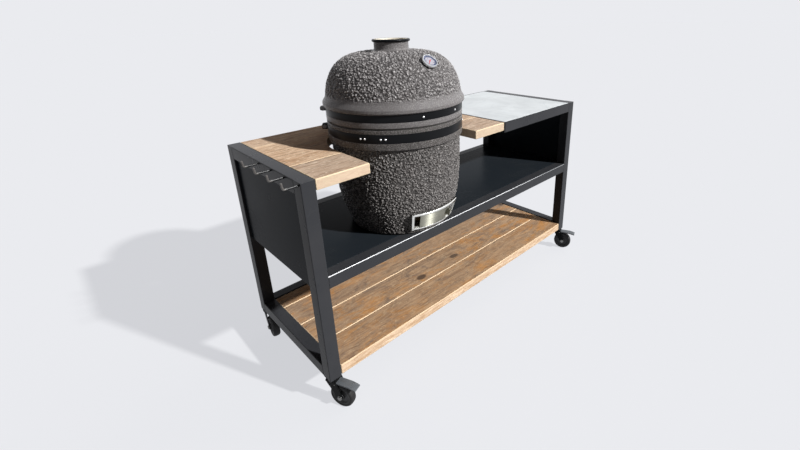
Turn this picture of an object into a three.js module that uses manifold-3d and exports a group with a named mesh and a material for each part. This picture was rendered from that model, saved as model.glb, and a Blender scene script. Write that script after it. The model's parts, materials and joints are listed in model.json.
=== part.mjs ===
// Kamado grill table: an outdoor kitchen trolley of square steel tube with solid wood boards,
// a folded steel shelf, a ceramic worktop tile, four swivel casters and a ceramic kamado grill.
// Millimetres, +Z up, +X to the right of someone who stands in front, front face towards -Y.

import * as THREE from 'three';
import { mergeVertices } from 'three/addons/utils/BufferGeometryUtils.js';
import Module from 'manifold-3d';

const wasm = await Module();
wasm.setup();

// Overall driving dimensions
const tableLength = 1655;
const tableDepth = 620;
const frameHeight = 800;

// Tube, sheet and fitting clearances
const tubeSize = 50;
const tubeWall = 2;
const tubeCorner = 3;
const capThickness = 3;
const seatGap = 0.3;
const cutOverrun = 5;
const ledgeWidth = 30;
const ledgeThickness = 3.5;
const sheetThickness = 3;
const panelInset = 9;
const shelfFlange = 28;
const stiffenerWidth = 240;
const stiffenerDepth = 38;
const stiffenerLip = 30;

// Wood boards and the ceramic tile
const topBoardThickness = 39;
const topBoardSeams = [176, 377];
const topBoardGap = 1;
const boardEndGap = 1;
const lowerBoardThickness = 43;
const lowerBoardWidth = 158;
const lowerBoardGap = 2;
const woodEnd = 1016;
const dividerGap = 2;
const dividerThickness = 8;
const tileThickness = 20;
const tileGap = 1.5;
const tileLip = 4;

// The kamado's place, and the notch in the boards round it
const kamadoX = 545;
const kamadoY = 208;
const flangeAboveBoards = 17;
const notchShiftX = -8;
const notchShiftY = 3.5;
const notchClearance = 12;
const notchPastSeam = 0.5;
const notchSegments = 40;

// Tool hooks on the left end
const hookCount = 4;
const hookFirstY = 14;
const hookSpacing = 102;
const hookDrop = 10;
const hookReach = 50;
const hookRise = 24;
const hookLean = 3;
const hookBend = 7;
const hookRod = 3.2;
const hookSides = 6;
const hookSteps = 10;

// Casters
const wheelRadius = 50;
const wheelWidth = 32;
const wheelEdge = 7;
const wheelWebRadius = 30;
const wheelWebHalf = 10;
const wheelTopGap = 27;
const axleRadius = 6;
const axleHead = 5;
const axleHeadRadius = 9;
const casterTrail = 38;
const casterSideGap = 2;
const headRadius = 27;
const headHeight = 9;
const crownHeight = 4;
const crownBack = 20;
const armThickness = 4;
const armEye = 12;
const stemRadius = 6;
const stemLength = 16;
const nutRadius = 11;
const nutHeight = 6;
const shaftClearance = 0.6;
const frontTrailAngle = 23;
const rearTrailAngle = -8;
const armFront = 24;
const pedalPivot = 19;
const pedalTopGap = 1.5;
const pedalEye = 5;
const pedalPin = 2;
const pedalReach = 108;
const pedalThickness = 6.5;
const pedalTipDrop = 6;
const pedalTipLength = 30;
const pedalSideGap = 0.6;

// Kamado shell, heights above the shelf
const ceramicWall = 25;
const floorThickness = 26;
const bodyRadius = 267;
const bodyCurvePower = 3;
const rimStep = 10;
const ventTopHeight = 112;
const ventTopInset = 15;
const footHeight = 22;
const footInset = 30;
const footCorner = 18;
const baseHeight = 452;
const baseRingHeight = 15;
const baseFlangeHeight = 26;
const bandThickness = 2;
const bandSlack = 0.5;
const lowerBandHeight = 33;
const upperBandHeight = 27;
const gasketGap = 6;
const gasketInset = 3;
const gasketWidth = 22;
const lidRingHeight = 21;
const skirtStep = 5;
const skirtOverhang = 9;
const skirtHeight = 12;
const shoulderHeight = 24;
const domeInset = 4;
const domeRise = 161;
const domeHeightPower = 1.6;
const domeRadiusPower = 0.22;
const neckRadius = 68;
const neckHeight = 31;
const neckWall = 14;
const collarStep = 7;
const collarHeight = 11;

// Kamado fittings
const fireboxSideGap = 11;
const fireboxTaper = 43;
const fireboxHeight = 190;
const fireboxWall = 22;
const fireboxFloor = 28;
const fireboxHole = 84;
const fireboxHoleRadius = 10;
const fireboxHoleCount = 6;
const fireboxArchWidth = 96;
const fireboxArchHeight = 42;
const fireRingHeight = 104;
const charcoalLap = 14;
const charcoalThickness = 8;
const charcoalSlotCount = 9;
const charcoalSlotWidth = 9;
const gridSideGap = 18;
const gridRim = 9;
const gridRod = 5;
const gridSink = 1;
const gridRodCount = 13;
const studRadius = 4.2;
const studHeight = 3.5;
const handleStudAngle = 17;
const shelfStudAngles = [46.5, 50, 62.5, 66];
const clampAngle = 125;
const clampReach = 22;
const clampEar = 4;
const clampSpread = 7;
const clampBolt = 4;
const clampHead = 9;

// Hinge, its ears' rounded ends given in degrees
const hingeSetback = 48;
const hingeRise = 8;
const pinRadius = 7;
const pinHeadRadius = 11;
const pinHeadWidth = 5;
const earThickness = 4;
const eyeRadius = 13;
const lidEarInner = 50;
const baseEarInner = 60;
const hingePlateThickness = 3;
const lidPlateAngle = 13;
const basePlateAngle = 16;
const earShoulder = 22;
const earRootShare = 0.6;
const baseEarArc = [-40, 160];
const lidEarArc = [200, 400];
const springWire = 2.2;
const springTurns = 9;
const springStepsPerTurn = 8;
const springEndGap = 3;

// Draft vent
const ventFrameAngle = 29;
const ventFrameBottom = 28;
const ventRailHeight = 8;
const ventFrameTop = 106;
const ventPostAngle = 2;
const ventStandOff = 3;
const ventPostGap = 0.5;
const ventPlate = 1.5;
const ventLipDepth = 8;
const ventLipThickness = 1.5;
const ventLipReach = 4;
const ventMouthLeft = -26;
const ventMouthRight = -2;
const ventMouthMargin = 11;
const doorLeft = -21;
const doorRight = 14;
const doorThickness = 2;
const doorRunGap = 1;
const doorSeatGap = 0.4;
const doorTabAngle = 1.2;
const doorTabHeight = 30;
const doorTabReach = 14;

// Thermometer
const gaugeRiseShare = 0.77;
const gaugeRadius = 30;
const gaugeDepth = 13;
const gaugeBezel = 4;
const gaugeDialDepth = 8;
const probeRadius = 4;
const probeLength = 72;
const probeClearance = 1;
const needleEndGap = 6;
const needleTail = 7;
const needleWidth = 3;
const needleThickness = 1;
const needleTipShare = 0.35;
const needleRestAngle = 135;

// Mesh fineness
const mergeTolerance = 1e-3;
const bodySegments = 40;
const ringSegments = 24;
const smallSegments = 12;
const studSegments = 8;
const nutSides = 6;
const wheelSegments = 20;
const cornerSteps = 3;
const eyeSteps = 6;
const footSteps = 2;
const footStepAngle = 36;
const bodySteps = 4;
const domeSteps = 10;
const insideSteps = 5;
const ventStepAngle = 5.8;
const hingeSteps = 8;

// Colours and finishes
const finishes = {
  frame: { color: 0x3d4349, roughness: 0.55, metalness: 0.3 },
  sheet: { color: 0x25282c, roughness: 0.4, metalness: 0.3 },
  wood: { color: 0xb08a5c, roughness: 0.8, metalness: 0 },
  tile: { color: 0xdde0e0, roughness: 0.5, metalness: 0 },
  steel: { color: 0xb9b9b2, roughness: 0.3, metalness: 1 },
  rubber: { color: 0x141414, roughness: 0.8, metalness: 0 },
  fork: { color: 0x2b2d2f, roughness: 0.5, metalness: 0.6 },
  pedal: { color: 0x6f7274, roughness: 0.6, metalness: 0.2 },
  ceramic: { color: 0x55504d, roughness: 0.5, metalness: 0 },
  fireclay: { color: 0xc9b9a0, roughness: 0.9, metalness: 0 },
  castIron: { color: 0x2a2a2a, roughness: 0.8, metalness: 0.6 },
  felt: { color: 0x2c2a28, roughness: 1, metalness: 0 },
  band: { color: 0x1f2224, roughness: 0.45, metalness: 0.5 },
  dial: { color: 0xe9ebee, roughness: 0.4, metalness: 0.1 },
  needle: { color: 0xb03028, roughness: 0.5, metalness: 0.1 },
};

const table = new THREE.Group();

// Solids: every mesh passes through here as one closed, outward-facing body
function solidOf(geometry) {
  const bare = geometry.clone();
  bare.deleteAttribute('normal');
  bare.deleteAttribute('uv');
  const merged = mergeVertices(bare, mergeTolerance);
  const places = merged.getAttribute('position').array;
  const order = merged.getIndex().array;
  const kept = [];
  let signedVolume = 0;
  for (let i = 0; i < order.length; i += 3) {
    const [a, b, c] = [order[i], order[i + 1], order[i + 2]];
    if (a === b || b === c || a === c) continue;
    kept.push(a, b, c);
    const p = new THREE.Vector3().fromArray(places, 3 * a);
    const q = new THREE.Vector3().fromArray(places, 3 * b);
    const r = new THREE.Vector3().fromArray(places, 3 * c);
    signedVolume += p.dot(q.cross(r));
  }
  if (signedVolume < 0) kept.reverse();
  const mesh = new wasm.Mesh({
    numProp: 3,
    vertProperties: new Float32Array(places),
    triVerts: new Uint32Array(kept),
  });
  return new wasm.Manifold(mesh);
}

function geometryOf(solid) {
  const mesh = solid.getMesh();
  const geometry = new THREE.BufferGeometry();
  geometry.setAttribute('position', new THREE.BufferAttribute(mesh.vertProperties, 3));
  geometry.setIndex(new THREE.BufferAttribute(mesh.triVerts, 1));
  geometry.computeVertexNormals();
  return geometry;
}

function union(solids) {
  return solids.reduce((whole, piece) => whole.add(piece));
}

function place(name, finish, solid, parent = table) {
  const mesh = new THREE.Mesh(geometryOf(solid), new THREE.MeshStandardMaterial(finishes[finish]));
  mesh.name = name;
  parent.add(mesh);
  return mesh;
}

// Basic shapes
function box(low, high) {
  const size = high.map((value, i) => value - low[i]);
  const geometry = new THREE.BoxGeometry(...size);
  geometry.translate(...high.map((value, i) => (value + low[i]) / 2));
  return solidOf(geometry);
}

// A prism whose outline lies in the plane across its axis: (y, z) for x, (x, z) for y, (x, y) for z
function prism(axis, outline, from, to, hole = null) {
  const trace = (points) => {
    if (axis !== 'y') return points.map(([u, v]) => new THREE.Vector2(u, v));
    return points.map(([u, v]) => new THREE.Vector2(v, u)).reverse();
  };
  const shape = new THREE.Shape(trace(outline));
  if (hole) shape.holes.push(new THREE.Path(trace(hole)));
  const geometry = new THREE.ExtrudeGeometry(shape, { depth: to - from, bevelEnabled: false });
  geometry.translate(0, 0, from);
  const [x, y, z] = [[1, 0, 0], [0, 1, 0], [0, 0, 1]].map((v) => new THREE.Vector3(...v));
  const frames = { x: [y, z, x], y: [z, x, y], z: [x, y, z] };
  geometry.applyMatrix4(new THREE.Matrix4().makeBasis(...frames[axis]));
  return solidOf(geometry);
}

function arcPoints(u, v, radius, fromAngle, toAngle, steps) {
  const points = [];
  for (let i = 0; i <= steps; i += 1) {
    const angle = THREE.MathUtils.degToRad(fromAngle + ((toAngle - fromAngle) * i) / steps);
    points.push([u + radius * Math.cos(angle), v + radius * Math.sin(angle)]);
  }
  return points;
}

function roundedRectangle(u0, v0, u1, v1, radius) {
  return [
    ...arcPoints(u1 - radius, v1 - radius, radius, 0, 90, cornerSteps),
    ...arcPoints(u0 + radius, v1 - radius, radius, 90, 180, cornerSteps),
    ...arcPoints(u0 + radius, v0 + radius, radius, 180, 270, cornerSteps),
    ...arcPoints(u1 - radius, v0 + radius, radius, 270, 360, cornerSteps),
  ];
}

function rectangle(u0, v0, u1, v1) {
  return [[u0, v0], [u1, v0], [u1, v1], [u0, v1]];
}

function tube(axis, u0, v0, from, to) {
  const u1 = u0 + tubeSize;
  const v1 = v0 + tubeSize;
  const bore = rectangle(u0 + tubeWall, v0 + tubeWall, u1 - tubeWall, v1 - tubeWall);
  return prism(axis, roundedRectangle(u0, v0, u1, v1, tubeCorner), from, to, bore);
}

// A solid of revolution about the vertical axis from an outline of [radius, height] points
function turned(outline, segments) {
  const points = outline.map(([radius, height]) => new THREE.Vector2(radius, height));
  const closes = outline[0][0] !== 0 || outline[outline.length - 1][0] !== 0;
  if (closes) points.push(points[0].clone());
  const geometry = new THREE.LatheGeometry(points, segments);
  geometry.rotateX(Math.PI / 2);
  return solidOf(geometry);
}

function disc(radius, from, to, segments) {
  return turned([[0, from], [radius, from], [radius, to], [0, to]], segments);
}

function ring(inner, outer, from, to, segments) {
  return turned([[inner, from], [outer, from], [outer, to], [inner, to]], segments);
}

// Angles round the kamado count from the front, positive towards +X
function onCircle(radius, angle, height = 0) {
  const turn = THREE.MathUtils.degToRad(angle);
  return [radius * Math.sin(turn), -radius * Math.cos(turn), height];
}

// A closed outline of [radius, height] points swept round the vertical axis between two angles
function sweptArc(outline, fromAngle, toAngle, steps) {
  const flat = outline.map(([radius, height]) => new THREE.Vector2(radius, height));
  if (THREE.ShapeUtils.area(flat) < 0) flat.reverse();
  const count = flat.length;
  const places = [];
  for (let i = 0; i <= steps; i += 1) {
    const angle = fromAngle + ((toAngle - fromAngle) * i) / steps;
    flat.forEach((point) => places.push(...onCircle(point.x, angle, point.y)));
  }
  const order = [];
  for (let i = 0; i < steps; i += 1) {
    for (let j = 0; j < count; j += 1) {
      const a = i * count + j;
      const b = i * count + ((j + 1) % count);
      order.push(b, a, a + count, b, a + count, b + count);
    }
  }
  const last = steps * count;
  THREE.ShapeUtils.triangulateShape(flat, []).forEach(([a, b, c]) => {
    order.push(a, b, c, last + c, last + b, last + a);
  });
  const geometry = new THREE.BufferGeometry();
  geometry.setAttribute('position', new THREE.Float32BufferAttribute(places, 3));
  geometry.setIndex(order);
  return solidOf(geometry);
}

// A straight round bar between two points
function bar(from, to, radius, segments) {
  const [start, end] = [new THREE.Vector3(...from), new THREE.Vector3(...to)];
  const geometry = new THREE.CylinderGeometry(radius, radius, start.distanceTo(end), segments);
  const along = end.clone().sub(start).normalize();
  geometry.applyQuaternion(new THREE.Quaternion().setFromUnitVectors(new THREE.Vector3(0, 1, 0), along));
  geometry.translate(...start.add(end).multiplyScalar(0.5).toArray());
  return solidOf(geometry);
}

// Kamado radii and heights, from the body's radius and the base's height
const rimRadius = bodyRadius + rimStep;
const ventTopRadius = bodyRadius - ventTopInset;
const footRadius = ventTopRadius - footInset;
const mouthRadius = bodyRadius - ceramicWall;
const skirtRadius = rimRadius + skirtOverhang;
const domeRadius = rimRadius - domeInset;
const flueRadius = neckRadius - neckWall;
const bandRecess = rimRadius - bandThickness - seatGap;
const lowerBandTop = baseHeight - baseRingHeight;
const lowerBandBottom = lowerBandTop - lowerBandHeight - 2 * bandSlack;
const baseFlangeBottom = lowerBandBottom - baseFlangeHeight;
const lidBottom = baseHeight + gasketGap;
const upperBandBottom = lidBottom + lidRingHeight;
const upperBandTop = upperBandBottom + upperBandHeight + 2 * bandSlack;
const skirtBottom = upperBandTop + skirtStep;
const domeBottom = skirtBottom + skirtHeight + shoulderHeight;
const domeTop = domeBottom + domeRise;

// Steel frame: the shelf hangs as low as the grill's flange needs to clear the boards
const shelfTopHeight = frameHeight + flangeAboveBoards - baseFlangeBottom;
const rightPost = tableLength - tubeSize;
const rearPost = tableDepth - tubeSize;
const topBoardBottom = frameHeight - topBoardThickness;
const rearRailTop = topBoardBottom - seatGap;
const tileBottom = frameHeight - tileThickness;
const tileSeat = tileBottom - seatGap;
const dividerX = woodEnd + dividerGap;
const tileStart = dividerX + dividerThickness;

function post(x, y) {
  const shell = prism(
    'z',
    roundedRectangle(x, y, x + tubeSize, y + tubeSize, tubeCorner),
    0,
    frameHeight,
  );
  const bore = box(
    [x + tubeWall, y + tubeWall, capThickness],
    [x + tubeSize - tubeWall, y + tubeSize - tubeWall, frameHeight - capThickness],
  );
  const stemHole = disc(stemRadius + shaftClearance, -cutOverrun, capThickness + cutOverrun, smallSegments);
  return shell.subtract(bore).subtract(stemHole.translate([x + tubeSize / 2, y + tubeSize / 2, 0]));
}

function buildPosts() {
  place('post_front_left', 'frame', post(0, 0));
  place('post_rear_left', 'frame', post(0, rearPost));
  place('post_front_right', 'frame', post(rightPost, 0));
  place('post_rear_right', 'frame', post(rightPost, rearPost));
}

function buildEndRails() {
  const railZ = frameHeight - tubeSize;
  const topLeft = tube('y', 0, railZ, tubeSize, rearPost);
  const topRight = tube('y', rightPost, railZ, tubeSize, rearPost);
  const boardLedge = box(
    [tubeSize - tubeWall / 2, tubeSize, rearRailTop - ledgeThickness],
    [tubeSize + ledgeWidth, rearPost, rearRailTop],
  );
  const tileLedge = box(
    [rightPost - ledgeWidth, tubeSize + seatGap, tileSeat - ledgeThickness],
    [rightPost + tubeWall / 2, rearPost - seatGap, tileSeat],
  );
  place('top_end_rail_left', 'frame', topLeft.add(boardLedge));
  place('top_end_rail_right', 'frame', topRight.add(tileLedge));
  const lowLeft = tube('y', 0, 0, tubeSize, rearPost);
  const lowRight = tube('y', rightPost, 0, tubeSize, rearPost);
  const leftLedge = box(
    [tubeSize - tubeCorner, tubeSize, 0],
    [tubeSize + ledgeWidth, rearPost - seatGap, ledgeThickness],
  );
  const rightLedge = box(
    [rightPost - ledgeWidth, tubeSize, 0],
    [rightPost + tubeCorner, rearPost - seatGap, ledgeThickness],
  );
  place('bottom_end_rail_left', 'frame', lowLeft.add(leftLedge));
  place('bottom_end_rail_right', 'frame', lowRight.add(rightLedge));
}

function buildLongRails() {
  place('bottom_rear_rail', 'frame', tube('x', rearPost, 0, tubeSize, rightPost));
  const shelfRailZ = shelfTopHeight - tubeSize;
  place('shelf_front_rail', 'frame', tube('x', 0, shelfRailZ, tubeSize, rightPost));
  place('shelf_rear_rail', 'frame', tube('x', rearPost, shelfRailZ, tubeSize, rightPost));
}

// The rear rail runs under the boards and steps up behind the tile
function buildTopRearRail() {
  const rail = tube('x', rearPost, rearRailTop - tubeSize, tubeSize, rightPost);
  const step = box([tileStart, rearPost, rearRailTop - tubeWall / 2], [rightPost, tableDepth, tileSeat]);
  const lip = box(
    [tileStart, tableDepth - tileLip, tileSeat - tileLip],
    [rightPost, tableDepth, frameHeight],
  );
  place('top_rear_rail', 'frame', union([rail, step, lip]));
}

// The front rail of the tile field: a tube under the tile with a lip in front of it
function buildTileFrontRail() {
  const bottom = frameHeight - tubeSize;
  const outline = [[0, bottom], [tubeSize, bottom], [tubeSize, tileSeat], [tileLip, tileSeat]];
  outline.push([tileLip, frameHeight], [0, frameHeight]);
  const bore = rectangle(tubeWall, bottom + tubeWall, tubeSize - tubeWall, tileSeat - tubeWall);
  place('tile_front_rail', 'frame', prism('x', outline, tileStart + seatGap, rightPost, bore));
}

// The divider between boards and tile carries a ledge on each side
function buildDivider() {
  const bottom = frameHeight - tubeSize;
  const webEnd = rearPost - seatGap;
  const step = rearRailTop + seatGap;
  const web = prism(
    'x',
    [[0, bottom], [webEnd, bottom], [webEnd, step], [tableDepth, step], [tableDepth, frameHeight], [0, frameHeight]],
    dividerX,
    tileStart - seatGap,
  );
  const left = box(
    [dividerX - ledgeWidth, tubeSize, rearRailTop - ledgeThickness],
    [dividerX + dividerThickness / 2, webEnd, rearRailTop],
  );
  const right = box(
    [dividerX + dividerThickness / 2, tubeSize + seatGap, tileSeat - ledgeThickness],
    [tileStart + ledgeWidth, webEnd, tileSeat],
  );
  place('top_divider', 'frame', union([web, left, right]));
}

// End panels: inset sheets, folded inwards at the bottom to carry the shelf's ends
function endPanelOutline(side) {
  const top = frameHeight - tubeSize - seatGap;
  const bottom = shelfTopHeight - tubeSize;
  const foldTop = shelfTopHeight - sheetThickness - seatGap;
  const outline = [
    [panelInset, bottom],
    [panelInset + sheetThickness, bottom],
    [panelInset + sheetThickness, foldTop - sheetThickness],
    [tubeSize, foldTop - sheetThickness],
    [tubeSize, foldTop],
    [panelInset + sheetThickness, foldTop],
    [panelInset + sheetThickness, top],
    [panelInset, top],
  ];
  return outline.map(([x, z]) => [side === 'left' ? x : tableLength - x, z]);
}

function buildEndPanels() {
  const from = tubeSize + seatGap;
  const to = rearPost - seatGap;
  place('end_panel_left', 'sheet', prism('y', endPanelOutline('left'), from, to));
  place('end_panel_right', 'sheet', prism('y', endPanelOutline('right'), from, to));
}

// The shelf is a folded tray between the long rails, stiffened under the kamado
function buildShelf() {
  const inner = tubeSize + seatGap;
  const outer = rearPost - seatGap;
  const plate = shelfTopHeight - sheetThickness;
  const legFoot = plate - shelfFlange;
  const outline = [
    [inner, legFoot],
    [inner + sheetThickness, legFoot],
    [inner + sheetThickness, plate],
    [outer - sheetThickness, plate],
    [outer - sheetThickness, legFoot],
    [outer, legFoot],
    [outer, shelfTopHeight],
    [inner, shelfTopHeight],
  ];
  const end = panelInset + sheetThickness + seatGap;
  const tray = prism('x', outline, end, tableLength - end);
  const foldClear = tubeSize + seatGap;
  const leftCut = box(
    [0, 0, legFoot - cutOverrun],
    [foldClear, tableDepth, plate],
  );
  const rightCut = box(
    [tableLength - foldClear, 0, legFoot - cutOverrun],
    [tableLength, tableDepth, plate],
  );
  place('mid_shelf', 'sheet', tray.subtract(leftCut).subtract(rightCut));
}

function buildStiffener() {
  const half = stiffenerWidth / 2;
  const top = shelfTopHeight - sheetThickness - seatGap;
  const foot = top - stiffenerDepth;
  const outline = [
    [-half - stiffenerLip, foot],
    [sheetThickness - half, foot],
    [sheetThickness - half, top - sheetThickness],
    [half - sheetThickness, top - sheetThickness],
    [half - sheetThickness, foot],
    [half + stiffenerLip, foot],
    [half + stiffenerLip, foot + sheetThickness],
    [half, foot + sheetThickness],
    [half, top],
    [-half, top],
    [-half, foot + sheetThickness],
    [-half - stiffenerLip, foot + sheetThickness],
  ];
  const clear = tubeSize + sheetThickness + 2 * seatGap;
  const channel = prism('y', outline, clear, tableDepth - clear);
  place('shelf_stiffener', 'frame', channel.translate([kamadoX, 0, 0]));
}

// Wood boards: the top field has a round-backed notch, open to the front
const notchX = kamadoX + notchShiftX;
const notchY = kamadoY + notchShiftY;
const notchRadius = bodyRadius + notchClearance;

function notch() {
  const outline = arcPoints(notchX, notchY, notchRadius, 0, 180, notchSegments);
  outline.push([notchX - notchRadius, -cutOverrun], [notchX + notchRadius, -cutOverrun]);
  return prism('z', outline, topBoardBottom - cutOverrun, frameHeight + cutOverrun);
}

// The notch parts every board but the last, whose seam lies just inside the notch's back
function buildTopBoards() {
  const cut = notch();
  const seams = [...topBoardSeams, notchY + notchRadius - notchPastSeam, tableDepth];
  let front = 0;
  seams.forEach((back, i) => {
    const number = i + 1;
    const board = box(
      [tubeSize + boardEndGap, front, topBoardBottom],
      [woodEnd, back, frameHeight],
    );
    const pieces = board.subtract(cut).decompose();
    pieces.sort((a, b) => a.boundingBox().min[0] - b.boundingBox().min[0]);
    if (pieces.length === 1) place(`top_board_${number}`, 'wood', pieces[0]);
    else {
      place(`top_board_${number}_left`, 'wood', pieces[0]);
      place(`top_board_${number}_right`, 'wood', pieces[1]);
    }
    front = back + topBoardGap;
  });
}

function buildLowerBoards() {
  const bottom = ledgeThickness + seatGap;
  const pitch = lowerBoardWidth + lowerBoardGap;
  const last = rearPost - lowerBoardGap;
  let number = 1;
  for (let front = 0; front < last - lowerBoardGap; front += pitch) {
    const board = box(
      [tubeSize + boardEndGap, front, bottom],
      [rightPost - boardEndGap, Math.min(front + lowerBoardWidth, last), bottom + lowerBoardThickness],
    );
    place(`lower_board_${number}`, 'wood', board);
    number += 1;
  }
}

function buildTile() {
  const tile = box(
    [tileStart + tileGap, tileLip + tileGap, tileBottom],
    [rightPost - tileGap, tableDepth - tileLip - tileGap, frameHeight],
  );
  place('worktop_tile', 'tile', tile);
}

// Tool hooks: a bent round rod that leaves the rail and turns up at its end
function hookSolid(y) {
  const z = frameHeight - hookDrop;
  const corner = hookBend;
  const path = new THREE.CurvePath();
  const start = new THREE.Vector3(0, y, z);
  const beforeBend = new THREE.Vector3(corner - hookReach, y, z);
  const bend = new THREE.Vector3(-hookReach, y, z);
  const afterBend = new THREE.Vector3(-hookReach, y, z + corner);
  const tip = new THREE.Vector3(-hookReach - hookLean, y, z + hookRise);
  path.add(new THREE.LineCurve3(start, beforeBend));
  path.add(new THREE.QuadraticBezierCurve3(beforeBend, bend, afterBend));
  path.add(new THREE.LineCurve3(afterBend, tip));
  const rim = arcPoints(0, 0, hookRod, 0, 360, hookSides);
  rim.pop();
  const section = new THREE.Shape(rim.map(([u, v]) => new THREE.Vector2(u, v)));
  const geometry = new THREE.ExtrudeGeometry(section, { steps: hookSteps, extrudePath: path });
  return solidOf(geometry);
}

function buildHooks() {
  for (let i = 0; i < hookCount; i += 1) {
    place(`hook_${i + 1}`, 'steel', hookSolid(hookFirstY + i * hookSpacing));
  }
}

// Casters, built round the swivel axis with the wheel trailing towards -Y
const axleDrop = wheelRadius + wheelTopGap;
const pedalPivotDrop = headHeight + crownHeight + pedalTopGap + pedalEye;

function flatSided(radius, segments) {
  return radius / Math.cos(Math.PI / segments);
}

function casterFork() {
  const half = wheelWidth / 2 + casterSideGap;
  const outer = half + armThickness;
  const head = disc(headRadius, -headHeight, -seatGap, smallSegments);
  const crown = box(
    [-outer, -armFront, -headHeight - crownHeight],
    [outer, crownBack, -headHeight + crownHeight / 2],
  );
  const eye = arcPoints(-casterTrail, -axleDrop, armEye, 180, 360, eyeSteps);
  const outline = [[crownBack, -headHeight], [-armFront, -headHeight], ...eye];
  const leftArm = prism('x', outline, -outer, -half);
  const rightArm = prism('x', outline, half, outer);
  const axle = bar(
    [-outer, -casterTrail, -axleDrop],
    [outer, -casterTrail, -axleDrop],
    axleRadius,
    studSegments,
  );
  const heads = [-1, 1].map((side) => bar(
    [side * (outer - axleHead / 2), -casterTrail, -axleDrop],
    [side * (outer + axleHead), -casterTrail, -axleDrop],
    axleHeadRadius,
    studSegments,
  ));
  const stem = disc(stemRadius, -headHeight / 2, stemLength, smallSegments);
  const nutSeat = capThickness + seatGap;
  const nut = disc(nutRadius, nutSeat, nutSeat + nutHeight, nutSides);
  return union([head, crown, leftArm, rightArm, axle, ...heads, stem, nut]);
}

// The braked fork also has the pin its pedal turns on
function brakedFork() {
  const half = wheelWidth / 2 + casterSideGap + armThickness / 2;
  const pin = bar(
    [-half, -pedalPivot, -pedalPivotDrop],
    [half, -pedalPivot, -pedalPivotDrop],
    pedalPin,
    studSegments,
  );
  return casterFork().add(pin);
}

function casterWheel() {
  const bore = axleRadius + shaftClearance;
  const radius = flatSided(wheelRadius, wheelSegments);
  const side = [
    [bore, wheelWidth / 2 + casterSideGap - seatGap],
    [wheelWebRadius, wheelWebHalf],
    [radius - wheelEdge, wheelWidth / 2],
    [radius, wheelWidth / 2 - wheelEdge],
  ];
  const mirrored = side.map(([r, w]) => [r, -w]).reverse();
  const wheel = turned([...mirrored, ...side], wheelSegments);
  const flatTurn = 180 / wheelSegments;
  return wheel.rotate([0, 0, flatTurn]).rotate([0, 90, 0]).translate([0, -casterTrail, -axleDrop]);
}

function brakePedal() {
  const half = wheelWidth / 2 + casterSideGap - pedalSideGap;
  const top = pedalEye - pedalPivotDrop;
  const bottom = top - pedalThickness;
  const tipStart = pedalTipLength - pedalReach;
  const outline = [
    ...arcPoints(-pedalPivot, -pedalPivotDrop, pedalEye, -90, 90, cornerSteps),
    [tipStart, top],
    [-pedalReach, top - pedalTipDrop],
    [-pedalReach, bottom - pedalTipDrop],
    [tipStart, bottom],
    [-armFront - pedalEye, bottom],
  ];
  const bore = arcPoints(-pedalPivot, -pedalPivotDrop, pedalPin + shaftClearance, 0, 360, studSegments);
  bore.pop();
  return prism('x', outline, -half, half, bore);
}

function buildCasters() {
  const corners = [
    ['front_left', 0, 0, frontTrailAngle, true],
    ['front_right', rightPost, 0, frontTrailAngle, true],
    ['rear_left', 0, rearPost, rearTrailAngle, false],
    ['rear_right', rightPost, rearPost, rearTrailAngle, false],
  ];
  corners.forEach(([name, x, y, angle, braked]) => {
    const caster = new THREE.Group();
    caster.position.set(x + tubeSize / 2, y + tubeSize / 2, 0);
    caster.rotation.z = THREE.MathUtils.degToRad(angle);
    table.add(caster);
    place(`caster_fork_${name}`, 'fork', braked ? brakedFork() : casterFork(), caster);
    place(`caster_wheel_${name}`, 'rubber', casterWheel(), caster);
    if (braked) place(`brake_pedal_${name}`, 'pedal', brakePedal(), caster);
  });
}

// Kamado, built round its own vertical axis with height 0 on the shelf
const kamado = new THREE.Group();
kamado.position.set(kamadoX, kamadoY, shelfTopHeight + seatGap);
table.add(kamado);

function bodyRadiusAt(height) {
  if (height <= ventTopHeight) {
    const share = (height - footHeight) / (ventTopHeight - footHeight);
    return footRadius + share * (ventTopRadius - footRadius);
  }
  const share = (height - ventTopHeight) / (baseFlangeBottom - ventTopHeight);
  return ventTopRadius + (bodyRadius - ventTopRadius) * (1 - (1 - share) ** bodyCurvePower);
}

// The dome's radius from its foot to the neck, as one smooth formula
function domeRadiusAt(share, foot) {
  return foot * (1 - share ** domeHeightPower) ** domeRadiusPower;
}

function domeOutline(foot, bottom, rise, stopRadius, steps) {
  const points = [];
  for (let i = 0; i < steps; i += 1) {
    const share = Math.sin((Math.PI / 2) * (i / steps));
    const radius = domeRadiusAt(share, foot);
    if (radius > stopRadius) points.push([radius, bottom + share * rise]);
  }
  return points;
}

function baseSolid() {
  const cornerEnd = footSteps * footStepAngle - 90;
  const corner = arcPoints(footRadius - footCorner, footCorner, footCorner, -90, cornerEnd, footSteps);
  const outer = [[0, 0], ...corner, [footRadius, footHeight], [ventTopRadius, ventTopHeight]];
  for (let i = 1; i <= bodySteps; i += 1) {
    const height = ventTopHeight + ((baseFlangeBottom - ventTopHeight) * i) / bodySteps;
    outer.push([bodyRadiusAt(height), height]);
  }
  outer.push(
    [rimRadius, baseFlangeBottom],
    [rimRadius, lowerBandBottom],
    [bandRecess, lowerBandBottom],
    [bandRecess, lowerBandTop],
    [rimRadius, lowerBandTop],
    [rimRadius, baseHeight],
  );
  const inner = [[mouthRadius, baseHeight]];
  for (let i = bodySteps - 2; i >= 0; i -= 1) {
    const height = ventTopHeight + ((baseFlangeBottom - ventTopHeight) * i) / bodySteps;
    inner.push([bodyRadiusAt(height) - ceramicWall, height]);
  }
  inner.push([bodyRadiusAt(floorThickness) - ceramicWall, floorThickness], [0, floorThickness]);
  return turned([...outer, ...inner], bodySegments);
}

// The vent's line follows the cone of the foot; offset is measured square to it
const ventRise = ventTopHeight - footHeight;
const ventRun = ventTopRadius - footRadius;
const ventSlope = Math.hypot(ventRise, ventRun);

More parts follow.
